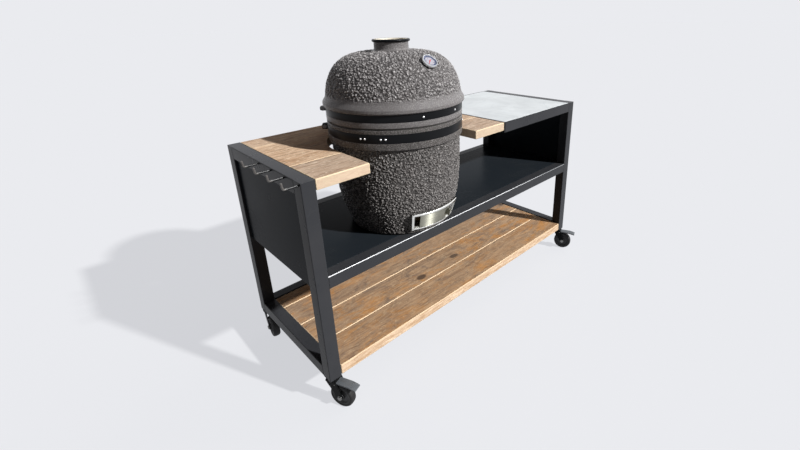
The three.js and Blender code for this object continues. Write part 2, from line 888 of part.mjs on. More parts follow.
function ventPoint(height, offset) {
  const radius = footRadius + ((height - footHeight) / ventRise) * ventRun;
  return [radius + (offset * ventRise) / ventSlope, height - (offset * ventRun) / ventSlope];
}

function ventStrip(low, high, near, far) {
  return [ventPoint(low, near), ventPoint(low, far), ventPoint(high, far), ventPoint(high, near)];
}

function ventArc(low, high, near, far, fromAngle, toAngle) {
  const steps = Math.ceil((toAngle - fromAngle) / ventStepAngle);
  return sweptArc(ventStrip(low, high, near, far), fromAngle, toAngle, steps);
}

function ventMouth() {
  const low = ventFrameBottom + ventMouthMargin;
  const high = ventFrameTop - ventMouthMargin;
  const depth = ceramicWall + cutOverrun + cutOverrun;
  return ventArc(low, high, -depth, ventStandOff + ventPlate + doorRunGap, ventMouthLeft, ventMouthRight);
}

function buildBase() {
  place('kamado_base', 'ceramic', baseSolid().subtract(ventMouth()), kamado);
}

// The frame is a channel whose lips hold the door, closed at both ends by posts on the ceramic
function buildDraftVent() {
  const back = ventStandOff;
  const lipFar = back + ventLipDepth;
  const lipNear = lipFar - ventLipThickness;
  const railReach = ventRailHeight - ventLipReach;
  const channel = [
    ventPoint(ventFrameBottom, back),
    ventPoint(ventFrameBottom, lipFar),
    ventPoint(ventFrameBottom + ventRailHeight, lipFar),
    ventPoint(ventFrameBottom + ventRailHeight, lipNear),
    ventPoint(ventFrameBottom + railReach, lipNear),
    ventPoint(ventFrameBottom + railReach, back + ventPlate),
    ventPoint(ventFrameTop - railReach, back + ventPlate),
    ventPoint(ventFrameTop - railReach, lipNear),
    ventPoint(ventFrameTop - ventRailHeight, lipNear),
    ventPoint(ventFrameTop - ventRailHeight, lipFar),
    ventPoint(ventFrameTop, lipFar),
    ventPoint(ventFrameTop, back),
  ];
  const steps = Math.ceil((2 * ventFrameAngle) / ventStepAngle);
  const body = sweptArc(channel, -ventFrameAngle, ventFrameAngle, steps);
  const ends = [-ventFrameAngle, ventFrameAngle - ventPostAngle].map((angle) => ventArc(
    ventFrameBottom,
    ventFrameTop,
    ventPostGap,
    lipFar,
    angle,
    angle + ventPostAngle,
  ));
  place('draft_frame', 'steel', union([body.subtract(ventMouth()), ...ends]), kamado);
}

function buildDraftDoor() {
  const near = ventStandOff + ventPlate + doorRunGap;
  const far = near + doorThickness;
  const low = ventFrameBottom + ventRailHeight - ventLipReach + doorSeatGap;
  const high = ventFrameTop - ventRailHeight + ventLipReach - doorRunGap;
  const plate = ventArc(low, high, near, far, doorLeft, doorRight);
  const middle = (low + high) / 2;
  const tab = ventArc(
    middle - doorTabHeight / 2, middle + doorTabHeight / 2, near, far + doorTabReach,
    doorRight - doorTabAngle, doorRight,
  );
  place('draft_door', 'steel', plate.add(tab), kamado);
}

// Lid: ceramic dome with its chimney, drilled for the thermometer's probe
function lidSolid() {
  const dome = domeOutline(domeRadius, domeBottom, domeRise, neckRadius, domeSteps);
  const insideRadius = domeRadius - ceramicWall;
  const inside = domeOutline(insideRadius, domeBottom, domeRise - ceramicWall, flueRadius, insideSteps);
  const top = domeTop + neckHeight + collarHeight;
  const collarRadius = neckRadius + collarStep;
  const halfCollar = collarHeight / 2;
  const outer = [
    [rimRadius, lidBottom],
    [rimRadius, upperBandBottom],
    [bandRecess, upperBandBottom],
    [bandRecess, upperBandTop],
    [rimRadius, upperBandTop],
    [skirtRadius, skirtBottom],
    [skirtRadius, skirtBottom + skirtHeight],
    ...dome,
    [neckRadius, domeTop],
    [neckRadius, domeTop + neckHeight],
    [collarRadius, domeTop + neckHeight],
    [collarRadius, top - halfCollar],
    [collarRadius - halfCollar / 2, top],
  ];
  const flue = [[flueRadius, top], [flueRadius, domeTop - ceramicWall]];
  return turned([...outer, ...flue, ...inside.reverse(), [mouthRadius, lidBottom]], bodySegments);
}

// Thermometer frame: its origin on the dome and its axis square to the surface
function gaugeFrame() {
  const share = gaugeRiseShare;
  const left = 1 - share ** domeHeightPower;
  const bend = domeRadiusPower * left ** (domeRadiusPower - 1) * domeHeightPower;
  const fall = (domeRadius * bend * share ** (domeHeightPower - 1)) / domeRise;
  const place = [0, -domeRadiusAt(share, domeRadius), domeBottom + share * domeRise];
  return { place, tilt: THREE.MathUtils.radToDeg(Math.atan2(1, fall)) };
}

function aimed(solid) {
  const { place, tilt } = gaugeFrame();
  return solid.rotate([tilt, 0, 0]).translate(place);
}

function buildLid() {
  const bore = disc(probeRadius + probeClearance, -probeLength, cutOverrun, studSegments);
  place('kamado_lid', 'ceramic', lidSolid().subtract(aimed(bore)), kamado);
}

function buildGauge() {
  const dialRadius = gaugeRadius - gaugeBezel;
  const rim = gaugeDepth - gaugeBezel / 2;
  const outline = [
    [0, -probeLength],
    [probeRadius, -probeLength],
    [probeRadius, seatGap],
    [gaugeRadius, seatGap],
    [gaugeRadius, rim],
    [gaugeRadius - (gaugeDepth - rim), gaugeDepth],
    [dialRadius, gaugeDepth],
    [dialRadius, gaugeDialDepth],
    [0, gaugeDialDepth],
  ];
  place('gauge_case', 'dial', aimed(turned(outline, ringSegments)), kamado);
  const low = gaugeDialDepth + seatGap;
  const half = needleWidth / 2;
  const tip = half * needleTipShare;
  const reach = dialRadius - needleEndGap;
  const pointer = prism(
    'z',
    [[-half, -needleTail], [half, -needleTail], [tip, reach], [-tip, reach]],
    low,
    low + needleThickness,
  );
  const hub = disc(needleWidth, low, low + needleThickness, studSegments);
  const needle = pointer.add(hub).rotate([0, 0, needleRestAngle]);
  place('gauge_needle', 'needle', aimed(needle), kamado);
}

function buildGasket() {
  const outer = rimRadius - gasketInset;
  const felt = ring(outer - gasketWidth, outer, baseHeight + seatGap, lidBottom - seatGap, ringSegments);
  place('rim_gasket', 'felt', felt, kamado);
}

// Fire parts inside the base
const fireboxTopRadius = mouthRadius - fireboxSideGap;
const fireboxFootRadius = fireboxTopRadius - fireboxTaper;

function buildFirebox() {
  const bottom = floorThickness + seatGap;
  const top = bottom + fireboxHeight;
  const outline = [
    [fireboxHole, bottom],
    [fireboxFootRadius, bottom],
    [fireboxTopRadius, top],
    [fireboxTopRadius - fireboxWall, top],
    [fireboxFootRadius - fireboxWall, bottom + fireboxFloor],
    [fireboxHole, bottom + fireboxFloor],
  ];
  const half = fireboxArchWidth / 2;
  const arch = box(
    [-half, -fireboxTopRadius, bottom - cutOverrun],
    [half, 0, bottom + fireboxArchHeight],
  );
  const holes = [];
  const holeHeight = bottom + fireboxHeight / 2;
  for (let i = 0; i < fireboxHoleCount; i += 1) {
    const angle = (360 / fireboxHoleCount) * (i + 0.5);
    holes.push(bar(
      onCircle(fireboxFootRadius - fireboxWall - cutOverrun, angle, holeHeight),
      onCircle(fireboxTopRadius + cutOverrun, angle, holeHeight),
      fireboxHoleRadius,
      nutSides,
    ));
  }
  const cup = turned(outline, ringSegments);
  place('firebox', 'fireclay', cup.subtract(arch).subtract(union(holes)), kamado);
  const ringBottom = top + seatGap;
  const fireRing = ring(
    fireboxTopRadius - fireboxWall, fireboxTopRadius, ringBottom, ringBottom + fireRingHeight, ringSegments,
  );
  place('fire_ring', 'fireclay', fireRing, kamado);
}

function buildCharcoalGrate() {
  const bottom = floorThickness + fireboxFloor + 2 * seatGap;
  const charcoalRadius = fireboxHole + charcoalLap;
  const plate = disc(charcoalRadius, bottom, bottom + charcoalThickness, ringSegments);
  const slots = [];
  const pitch = (2 * charcoalRadius) / (charcoalSlotCount + 1);
  const reach = charcoalRadius - pitch / 2;
  for (let i = 1; i <= charcoalSlotCount; i += 1) {
    const x = i * pitch - charcoalRadius;
    const half = Math.sqrt(reach ** 2 - x ** 2);
    slots.push(box(
      [x - charcoalSlotWidth / 2, -half, bottom - cutOverrun],
      [x + charcoalSlotWidth / 2, half, bottom + charcoalThickness + cutOverrun],
    ));
  }
  place('charcoal_grate', 'castIron', plate.subtract(union(slots)), kamado);
}

function buildCookingGrate() {
  const bottom = floorThickness + fireboxHeight + fireRingHeight + 3 * seatGap;
  const gridRadius = mouthRadius - gridSideGap;
  const rim = ring(gridRadius - gridRim, gridRadius, bottom, bottom + gridRim, ringSegments);
  const rods = [];
  const pitch = (2 * gridRadius) / (gridRodCount + 1);
  const rodTop = bottom + gridRim - gridSink;
  for (let i = 1; i <= gridRodCount; i += 1) {
    const x = i * pitch - gridRadius;
    const half = Math.sqrt((gridRadius - gridRim / 2) ** 2 - x ** 2);
    rods.push(box([x - gridRod / 2, -half, rodTop - gridRod], [x + gridRod / 2, half, rodTop]));
  }
  const cross = gridRadius - gridRim / 2;
  rods.push(box([-cross, -gridRod / 2, bottom + gridSink], [cross, gridRod / 2, rodTop - gridRod / 2]));
  place('cooking_grate', 'castIron', union([rim, ...rods]), kamado);
}

// Steel bands with their studs and clamps
function stud(angle, height) {
  return bar(
    onCircle(rimRadius - bandThickness / 2, angle, height),
    onCircle(rimRadius + studHeight, angle, height),
    studRadius,
    nutSides,
  );
}

function clamp(angle, low, high) {
  const root = rimRadius - bandThickness / 2;
  const tip = rimRadius + clampReach;
  const ears = [-1, 1].map((side) => box(
    [side * clampSpread - clampEar / 2, -tip, low],
    [side * clampSpread + clampEar / 2, -root, high],
  ));
  const middle = (low + high) / 2;
  const centre = -rimRadius - clampReach / 2;
  const reach = clampSpread + clampEar + clampBolt;
  const bolt = bar([-reach, centre, middle], [reach, centre, middle], clampBolt, nutSides);
  const heads = [-1, 1].map((side) => bar(
    [side * (clampSpread + clampEar / 4), centre, middle],
    [side * (clampSpread + clampEar), centre, middle],
    clampHead,
    studSegments,
  ));
  return union([...ears, bolt, ...heads]).rotate([0, 0, angle]);
}

function band(low, high, studAngles) {
  const middle = (low + high) / 2;
  const hoop = ring(rimRadius - bandThickness, rimRadius, low, high, bodySegments);
  const inset = 2 * bandThickness;
  const extras = studAngles.map((angle) => stud(angle, middle));
  const clamps = [-clampAngle, clampAngle].map((angle) => clamp(angle, low + inset, high - inset));
  const bore = disc(rimRadius - bandThickness, low - cutOverrun, high + cutOverrun, bodySegments);
  return union([hoop, ...extras, ...clamps]).subtract(bore);
}

function bothSides(angles) {
  return angles.flatMap((angle) => [-angle, angle]);
}

function buildBands() {
  const lower = band(lowerBandBottom + bandSlack, lowerBandTop - bandSlack, bothSides(shelfStudAngles));
  const upper = band(upperBandBottom + bandSlack, upperBandTop - bandSlack, bothSides([handleStudAngle]));
  place('lower_band', 'band', lower, kamado);
  place('upper_band', 'band', upper, kamado);
}

// Hinge behind the kamado: two brackets on the bands, a pin and a counterbalance spring
const hingeY = rimRadius + hingeSetback;
const hingeZ = baseHeight + hingeRise;

function ear(outline, inner) {
  return [-inner - earThickness, inner].map((x) => prism('x', outline, x, x + earThickness));
}

function bracketPlate(angle, low, high) {
  const near = rimRadius + seatGap;
  const outline = rectangle(near, low, near + hingePlateThickness, high);
  return sweptArc(outline, 180 - angle, 180 + angle, hingeSteps);
}

// The edge of an ear that starts inside its plate, at the ear's own distance from the middle
function earRoot(offset) {
  const middleRadius = rimRadius + seatGap + hingePlateThickness * earRootShare;
  return Math.sqrt(middleRadius ** 2 - offset ** 2);
}

function buildHinge() {
  const lowRoot = earRoot(baseEarInner + earThickness);
  const baseLow = lowerBandBottom + bandSlack;
  const baseHigh = lowerBandTop - bandSlack;
  const baseOutline = [
    [lowRoot, baseHigh],
    [lowRoot, baseLow],
    [hingeY - earShoulder, baseLow],
    ...arcPoints(hingeY, hingeZ, eyeRadius, ...baseEarArc, eyeSteps),
  ];
  const reach = baseEarInner + earThickness + pinHeadWidth;
  const pin = bar([-reach, hingeY, hingeZ], [reach, hingeY, hingeZ], pinRadius, smallSegments);
  const heads = [-1, 1].map((side) => bar(
    [side * (baseEarInner + earThickness / 2), hingeY, hingeZ],
    [side * reach, hingeY, hingeZ],
    pinHeadRadius,
    studSegments,
  ));
  const basePlate = bracketPlate(basePlateAngle, baseLow, baseHigh);
  const baseBracket = union([basePlate, ...ear(baseOutline, baseEarInner), pin, ...heads]);
  place('hinge_base_bracket', 'band', baseBracket, kamado);

  const lidRoot = earRoot(lidEarInner + earThickness);
  const lidLow = upperBandBottom + bandSlack;
  const lidHigh = upperBandTop - bandSlack;
  const lidOutline = [
    [lidRoot, lidHigh],
    [lidRoot, lidLow],
    ...arcPoints(hingeY, hingeZ, eyeRadius, ...lidEarArc, eyeSteps),
    [hingeY - earShoulder, lidHigh],
  ];
  const eyeBore = bar(
    [-lidEarInner - cutOverrun - earThickness, hingeY, hingeZ],
    [lidEarInner + cutOverrun + earThickness, hingeY, hingeZ],
    pinRadius + shaftClearance,
    smallSegments,
  );
  const lidPlate = bracketPlate(lidPlateAngle, lidLow, lidHigh);
  const lidBracket = union([lidPlate, ...ear(lidOutline, lidEarInner)]).subtract(eyeBore);
  place('hinge_lid_bracket', 'band', lidBracket, kamado);
}

// The spring's wire as one unbroken tube round the pin, with eight steps of five sides to a turn
const springWireSides = 5;
const springInside = springWire * Math.cos(Math.PI / springWireSides);
const springRadius = (pinRadius + seatGap + springInside) / Math.cos(Math.PI / springStepsPerTurn);

function springCentres() {
  const half = lidEarInner - springEndGap - springWire;
  const steps = springTurns * springStepsPerTurn;
  const centres = [];
  for (let i = 0; i <= steps; i += 1) {
    const angle = (2 * Math.PI * i) / springStepsPerTurn;
    const x = -half + (2 * half * i) / steps;
    centres.push([x, springRadius * Math.cos(angle), springRadius * Math.sin(angle)]);
  }
  return centres;
}

function springSolid() {
  const centres = springCentres();
  const places = [];
  centres.forEach(([x, y, z]) => {
    const outward = new THREE.Vector2(y, z).normalize();
    for (let j = 0; j < springWireSides; j += 1) {
      const angle = (2 * Math.PI * j) / springWireSides;
      const lift = springWire * Math.cos(angle);
      places.push(x + springWire * Math.sin(angle), y + outward.x * lift, z + outward.y * lift);
    }
  });
  const order = [];
  for (let i = 0; i < centres.length - 1; i += 1) {
    for (let j = 0; j < springWireSides; j += 1) {
      const a = i * springWireSides + j;
      const b = i * springWireSides + ((j + 1) % springWireSides);
      order.push(a, b, b + springWireSides, a, b + springWireSides, a + springWireSides);
    }
  }
  const last = (centres.length - 1) * springWireSides;
  for (let j = 1; j < springWireSides - 1; j += 1) {
    order.push(0, j + 1, j, last, last + j, last + j + 1);
  }
  const geometry = new THREE.BufferGeometry();
  geometry.setAttribute('position', new THREE.Float32BufferAttribute(places, 3));
  geometry.setIndex(order);
  return solidOf(geometry);
}

// Least gap between turns: the pitch on the wire's points, less the wire itself
function springLeastGap() {
  const centres = springCentres().map((point) => new THREE.Vector3(...point));
  let least = Infinity;
  for (let i = 0; i < centres.length; i += 1) {
    for (let j = i + springStepsPerTurn - 2; j < centres.length; j += 1) {
      least = Math.min(least, centres[i].distanceTo(centres[j]) - 2 * springWire);
    }
  }
  return least;
}

function buildSpring() {
  place('hinge_spring', 'steel', springSolid().translate([0, hingeY, hingeZ]), kamado);
  console.log(`least gap between spring turns: ${springLeastGap().toFixed(2)} mm`);
}

buildPosts();
buildEndRails();
buildLongRails();
buildTopRearRail();
buildTileFrontRail();
buildDivider();
buildEndPanels();
buildShelf();
buildStiffener();
buildTopBoards();
buildLowerBoards();
buildTile();
buildHooks();
buildCasters();
buildBase();
buildLid();
buildGasket();
buildFirebox();
buildCharcoalGrate();
buildCookingGrate();
buildBands();
buildHinge();
buildSpring();
buildDraftVent();
buildDraftDoor();
buildGauge();

// The origin is the middle of the part's footprint box, at floor level
table.updateMatrixWorld(true);
const reach = new THREE.Box3().setFromObject(table, true);
table.position.set(-(reach.min.x + reach.max.x) / 2, -(reach.min.y + reach.max.y) / 2, -reach.min.z);
table.updateMatrixWorld(true);

export default table;
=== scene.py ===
import json
import math

import bmesh
import bpy
import numpy as np
from mathutils import Matrix, Vector

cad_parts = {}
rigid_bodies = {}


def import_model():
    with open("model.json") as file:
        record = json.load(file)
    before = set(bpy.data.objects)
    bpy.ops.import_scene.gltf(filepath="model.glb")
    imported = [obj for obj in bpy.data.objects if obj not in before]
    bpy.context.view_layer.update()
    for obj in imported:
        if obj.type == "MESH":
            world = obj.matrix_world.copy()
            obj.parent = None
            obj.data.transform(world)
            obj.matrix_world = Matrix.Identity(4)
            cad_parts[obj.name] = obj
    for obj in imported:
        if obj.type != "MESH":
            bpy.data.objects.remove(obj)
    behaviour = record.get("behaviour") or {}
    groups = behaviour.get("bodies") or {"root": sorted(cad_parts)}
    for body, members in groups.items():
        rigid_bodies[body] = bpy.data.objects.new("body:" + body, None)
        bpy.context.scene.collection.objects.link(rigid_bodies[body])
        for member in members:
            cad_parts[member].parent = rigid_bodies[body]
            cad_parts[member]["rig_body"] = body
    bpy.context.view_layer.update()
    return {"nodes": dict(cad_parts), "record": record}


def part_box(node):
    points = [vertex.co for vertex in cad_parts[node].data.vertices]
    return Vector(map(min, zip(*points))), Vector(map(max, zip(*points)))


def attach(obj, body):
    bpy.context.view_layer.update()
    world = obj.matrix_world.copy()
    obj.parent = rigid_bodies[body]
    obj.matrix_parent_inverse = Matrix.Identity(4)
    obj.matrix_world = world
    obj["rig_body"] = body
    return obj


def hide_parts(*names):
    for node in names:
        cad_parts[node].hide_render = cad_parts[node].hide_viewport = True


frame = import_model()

MM = 0.001

# The photo's camera, in millimetres from the table's front left corner under the frame
CAMERA_PLACE = (-514.8, -1151.4, 1271.8)
CAMERA_YAW = -0.7755
CAMERA_PITCH = -0.3586
CAMERA_ROLL = -0.0225
FOCAL_PIXELS = 417.65
PRINCIPAL_PIXELS = (443.63, 171.86)
PICTURE_PIXELS = (800, 450)
SENSOR_WIDTH = 36.0

# Light: a key from the front, a wide soft lamp from the right and an even fill
KEY_AZIMUTH = 23
KEY_ELEVATION = 32.5
KEY_STRENGTH = 5.15
KEY_SOFTNESS = 2
SIDE_AZIMUTH = 85
SIDE_ELEVATION = 30
SIDE_STRENGTH = 0.65
SIDE_SOFTNESS = 60
FILL_STRENGTH = 0.045
FILL_TINT = (1.2, 0.96, 0.94, 1.0)
BACKDROP = (234, 235, 239)
FLOOR_ALBEDO = 0.2
FLOOR_HALF = 60000

# Edges
TUBE_BEVEL = 0.7
SHEET_BEVEL = 0.5
BOARD_BEVEL = 3.4
TILE_BEVEL = 1.2
CLAY_BEVEL = 2
IRON_BEVEL = 1
FORK_BEVEL = 0.8
AXLE_BEVEL = 0.4
PEDAL_BEVEL = 1
CLAMP_BEVEL = 0.6
BOLT_BEVEL = 0.5
RAIL_BEVEL = 0.7
DOOR_BEVEL = 0.4
EDGE_STEPS = 3
SMOOTH_ANGLE = 40
SHELL_ANGLE = 60
FLAT_ANGLE = 1
MERGE_DISTANCE = 0.001

# A painted highlight on an arris: faces that face up and forward by these shares of their normal are
# painted bright as a glint, brightest before its span
ARRIS_UP_SHARES = (0.2, 0.9)
ARRIS_FRONT_SHARE = -0.1
GLINT_FADE_SPAN = (200, 600)

# Depth of the fine grain of each surface
COAT_GRAIN = 0.4
FIBRE_GRAIN = 1.6
SAW_GRAIN = 0.9
EDGE_GRAIN = 1
GLAZE_GRAIN = 2.4
CLAY_GRAIN = 0.8
BRUSH_GRAIN = 0.3
CAST_GRAIN = 0.8
FELT_GRAIN = 1
PLASTIC_GRAIN = 0.4

# Tool hooks, from the table's corner; each tip step is a distance from the end and a radius
HOOK_HEIGHT = 790
HOOK_REACH = 50
HOOK_LEAN = 3
HOOK_RISE = 23.6
HOOK_BEND = 7
HOOK_BEND_LEAN = 0.6
HOOK_BEND_STEPS = 8
HOOK_RADIUS = 3.7
HOOK_TIP = [(3, 3.7), (1.5, 3.4), (0.5, 2.5), (0, 0.9)]
# Where the painted glint on a hook's outer end begins, how far it fades and how much its edge wanders
HOOK_GLINT_FROM = 36
HOOK_GLINT_FADE = 6
HOOK_GLINT_WANDER = 4

# Grill shell, heights above its foot
WALL = 25
FLOOR_THICKNESS = 26
FOOT_RADIUS = 222
FOOT_HEIGHT = 22
FOOT_CORNER = 18
FOOT_RINGS = (0, 120, 200)
FOOT_STEPS = 8
FOOT_ARC = (-90, -16)
CONE_HEIGHT = 112
CONE_RADIUS = 252
BODY_RADIUS = 267
RIM_RADIUS = 277
RECESS_RADIUS = 274.7
FLANGE_LOW = 377
FLANGE_LEAD = (1.5, 0.5)
LOWER_RECESS = (403, 437)
BASE_TOP = 452
LID_LOW = 458
RIM_TURN = 6
RIM_FILLET = 2.5
RIM_STEPS = 4
RIM_BARE_POINTS = 4
INNER_HEIGHTS = (432, 300, 200, 120)
INNER_FOOT = 32
INNER_CORNER = (27, 5)
INNER_RING = 80
MOUTH_RISE = 7.9
UPPER_RECESS = (479, 507)
SKIRT = (512, 524)
SKIRT_RADIUS = 286
SHOULDER = [(1.6, -6), (0, 8)]
SHOULDER_CUT = 8
DOME_LOW = 548
DOME_RISE = 161
DOME_RADIUS = 273
DOME_POWERS = (1.6, 0.22)
DOME_TOP_SHARE = 0.988
INNER_TOP_SHARE = 0.985
INNER_STEPS = 24
NECK_RADIUS = 68
NECK_TOP = 740
NECK_MARGIN = 16
NECK_FOOT = (6, 1)
NECK_FLARE = [(3, 2), (0.8, 5), (0, 9)]
NECK_END = [(0, -2), (0.6, 0)]
COLLAR_RADIUS = 75
COLLAR_HEIGHT = 11
COLLAR_STEPS = 12
COLLAR_FLAT = 9
COLLAR_DROP = 0.6
FLUE_RADIUS = 54
FLUE_EDGE = (2, 3)
FLUE_FOOT = 4
SHELL_COLUMNS = 1080
ROW_PITCH = 1.6

# Pebbles of the glaze
PEBBLE_SIZE = 9.5
PEBBLE_FLATTEN = 1.3
PEBBLE_DEPTH = 5.2
PEBBLE_LIFT = 1
PEBBLE_SHADING = 3.3
PEBBLE_FADE = 12
PEBBLE_FOOT = 3
PEBBLE_START = 1
PEBBLE_MARGIN = 2
SKIRT_RELIEF = 0.4
RIM_RELIEF = 0.35
SCATTER_PRIMES = (73856093, 19349663, 83492791)
SCATTER_STRIDE = 374761393
SCATTER_ROUNDS = [(13, 1274126177), (16, 668265263)]
SCATTER_MASK = 0x7FFFFFFF
SCATTER_RANGE = 0xFFFF

# Grill bands; a stud's profile is radius and height over the band
LOWER_BAND = (403.5, 436.5)
UPPER_BAND = (479.5, 506.5)
BAND_INNER = 275
BAND_FILLET = 0.6
STUD_PROFILE = [(0, 3.3), (1.8, 2.9), (3.4, 1.9), (4.2, 0.6), (4.2, -0.6), (0, -0.6)]
LOWER_STUDS = (-66, -62.5, -50, -46.5, 46.5, 50, 62.5, 66)
UPPER_STUDS = (-17, 17)
CLAMP_ANGLES = (-125, 125)
CLAMP_REACH = 22
CLAMP_SINK = 1
CLAMP_INSET = 4
CLAMP_TAPER = 2
CLAMP_FILLET = 5
CLAMP_SPREAD = 7
CLAMP_EAR = 4
CLAMP_BOLT = 4
CLAMP_HEAD = 9
CLAMP_NUT = 5
GASKET = (252, 274, 452.3, 457.7)
GASKET_FILLET = 2.2

# Fire parts
FIRE_RING = (209, 231)
FIRE_RING_FILLET = 3
GRID_RIM = (215, 224)
GRID_RIM_HEIGHT = 9
GRID_FILLET = 4
GRID_SIDE_RODS = 6
GRID_PITCH = 32
GRID_REACH = 219.5
GRID_ROD_LIFT = 5.5
GRID_ROD_RADIUS = 2.5
GRID_CROSS_LIFT = 3.4
GRID_CROSS_RADIUS = 2.4

# Hinge
PIN_Y = 325
PIN_Z = 460
PIN_RADIUS = 7
PIN_REACH = 69
PIN_HEAD_FROM = 64
PIN_HEAD_RADIUS = 11
EYE_RADIUS = 13
EYE_STEPS = 18
EAR_THICKNESS = 4
EAR_NECK = 22
EAR_SINK = 2.1
BASE_EAR = (60, 16, (-40, 160))
LID_EAR = (50, 13, (200, 400))
BRACKET_GAP = 0.3
BRACKET_THICKNESS = 3
BRACKET_FILLET = 0.5
SPRING_WIRE = 2.2
SPRING_RADIUS = 9.9
SPRING_TURNS = 9
SPRING_HALF = 44.8
SPRING_STEPS = 24
SPRING_SIDES = 10

# Draft vent, heights along the foot's cone and offsets square to it
VENT_ANGLE = 29
VENT_LOW = 28
VENT_HIGH = 106
VENT_POST = 2
VENT_POST_DEPTH = (0.5, 11)
VENT_PLATE = (3, 4.5)
VENT_MOUTH = (-26, -2, 39, 95)
BEAD_RADIUS = 4
BEAD_OUT = 7
BEAD_ANGLES = range(0, 91, 18)
RAIL_LIP = [(7, 11), (8, 10), (7.5, 9.5), (4, 9.5), (4, 4.5)]
SCREW_PROFILE = [(0, 0.7), (3, 0.7), (3.8, 0.2), (3.8, -0.5), (0, -0.5)]
SCREW_ANGLES = (19, 23)
SCREW_HEIGHTS = (54, 80)
SCREW_TILT = 110
DOOR = (-21, 14, 32.4, 101)
DOOR_DEPTH = (5.5, 7.5)
DOOR_PITCH = 0.5
TAB_HALF = 15
TAB_OUT = 21.5
TAB_ANGLE = 1.2
TAB_PITCH = 0.6

# Thermometer, radii and heights over the dome; lifts are over the dial's seat
GAUGE_HEIGHT = 671.97
CASE_PROFILE = [
    (0, -70), (4, -72), (4, 0.3), (28, 0.3), (29.2, 0.8), (30, 2), (30, 9.4), (29.2, 11.8),
    (28, 13), (26.8, 12.6), (26, 11.4), (25.6, 8), (0, 8),
]
DIAL_RADIUS = 25.6
DIAL_DEPTH = 8
DIAL_START = 225
DIAL_SWEEP = 270
FACE_LIFTS = (0, 0.08)
RING_LIFTS = (0.09, 0.16)
RING_RADII = (19.2, 25.4)
TICK_LIFTS = (0.16, 0.22)
TICK_COUNT = 40
TICK_OUTER = 24.8
LONG_EVERY = 5
LONG_TICK = (20.4, 0.35)
SHORT_TICK = (22.4, 0.18)
NUMBER_STEPS = 4
NUMBER_VALUE = 100
NUMBER_RADIUS = 15.2
NUMBER_SIZE = 5
NUMBER_THICKNESS = 0.1
NUMBER_LIFT = 0.12
NEEDLE_LIFT = 0.3
NEEDLE_THICKNESS = 1
NEEDLE_REST = 135
NEEDLE_PROFILE = [(-1.5, -7), (1.5, -7), (1.1, 0), (0.5, 20), (-0.5, 20), (-1.1, 0)]
NEEDLE_HUB = [(0, 0), (3, 0), (3, 0.8), (2.2, 1.2), (0, 1.2)]

# Casters, from the swivel's centre under the post
CASTERS = {"front_left": 23, "front_right": 23, "rear_left": -8, "rear_right": -8}
TRAIL = 38
AXLE_DROP = 77
ARM_INNER = 18
ARM_OUTER = 22
CROWN_FRONT = -24
CROWN_BACK = 20
CROWN_SPAN = (-13, -7)
CROWN_FILLET = 1
HEAD_HEIGHT = 9
HEAD_PROFILE = [
    (0, -9), (24, -9), (27, -7.4), (27, -5.6), (25.4, -5), (25.4, -4.4), (27, -3.8), (27, -0.3), (0, -0.3),
]
STEM_PROFILE = [(0, -4), (6, -4), (6, 16), (0, 16)]
AXLE_EYE = 12
AXLE_RADIUS = 6
AXLE_PAST = 0.5
AXLE_HEAD = 9
AXLE_HEAD_OUT = 5
WASHER_RADIUS = 10
WASHER_THICKNESS = 1
TREAD_PROFILE = [(38, 13.5), (41, 16), (45, 15.6), (48.6, 12), (50, 6)]
TREAD_FILLET = 2
HUB_PROFILE = [(6.8, 17.6), (13, 17.6), (14, 16.5), (15, 9.5), (30, 8.5), (33, 13), (38.4, 13.6)]
HUB_FILLET = 0.8
PEDAL_PIVOT = (-19, -19.5)
PEDAL_EYE = 5
PEDAL_PIN = 2
PEDAL_HALF = 17.4
PEDAL_PROFILE = [
    (-78, -14.5), (-104, -20.2), (-107.5, -21.5), (-108, -24), (-107, -27), (-78, -21), (-29, -21),
]
RIB_PLACES = (-98, -92, -86)
RIB_HALF = 13
RIB_WIDTH = 2
RIB_HEIGHTS = (-16.4, -13.2)
RIB_ROOT = 78
RIB_SLOPE_SHARE = 0.22

# Places: millimetres of the table or of the grill become metres of the part
table_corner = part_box("post_front_left")[0]
base_low, base_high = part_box("kamado_base")
GRILL = Vector(((base_low.x + base_high.x) / 2, (base_low.y + base_high.y) / 2, base_low.z))


def on_circle(radius, angle, height=0.0):
    turn = math.radians(angle)
    return (radius * math.sin(turn), -radius * math.cos(turn), height)


def turned(axis, angle):
    return Matrix.Rotation(math.radians(angle), 4, axis)


# Colours: bytes of a picture become scene colours
def colour(red, green, blue):
    shares = [value / 255 for value in (red, green, blue)]
    return tuple(s / 12.92 if s <= 0.04045 else ((s + 0.055) / 1.055) ** 2.4 for s in shares) + (1.0,)


# Material nodes; colours are given as bytes
def blank(name, settings):
    material = bpy.data.materials.new(name)
    material.use_nodes = True
    shader = material.node_tree.nodes["Principled BSDF"]
    for key, value in settings.items():
        shader.inputs[key].default_value = value
    return material, material.node_tree, shader


def feed(tree, socket, value):
    if isinstance(value, bpy.types.NodeSocket):
        tree.links.new(value, socket)
    elif socket.type == "RGBA" and len(value) == 3:
        socket.default_value = colour(*value)
    else:
        socket.default_value = value


def finish(tree, shader, tint, rough=None, normal=None):
    for key, value in (("Base Color", tint), ("Roughness", rough), ("Normal", normal)):
        if value is not None:
            feed(tree, shader.inputs[key], value)


def node(tree, kind, inputs, output=0, **settings):
    made = tree.nodes.new("ShaderNode" + kind)
    for key, value in settings.items():
        setattr(made, key, value)
    for key, value in inputs.items():
        feed(tree, made.inputs[key], value)
    return made.outputs[output]


def maths(tree, operation, first, second, kind="Math"):
    return node(tree, kind, {0: first, 1: second}, operation=operation)


def stretched(tree, vector, scale):
    return maths(tree, "MULTIPLY", vector, scale, "VectorMath")


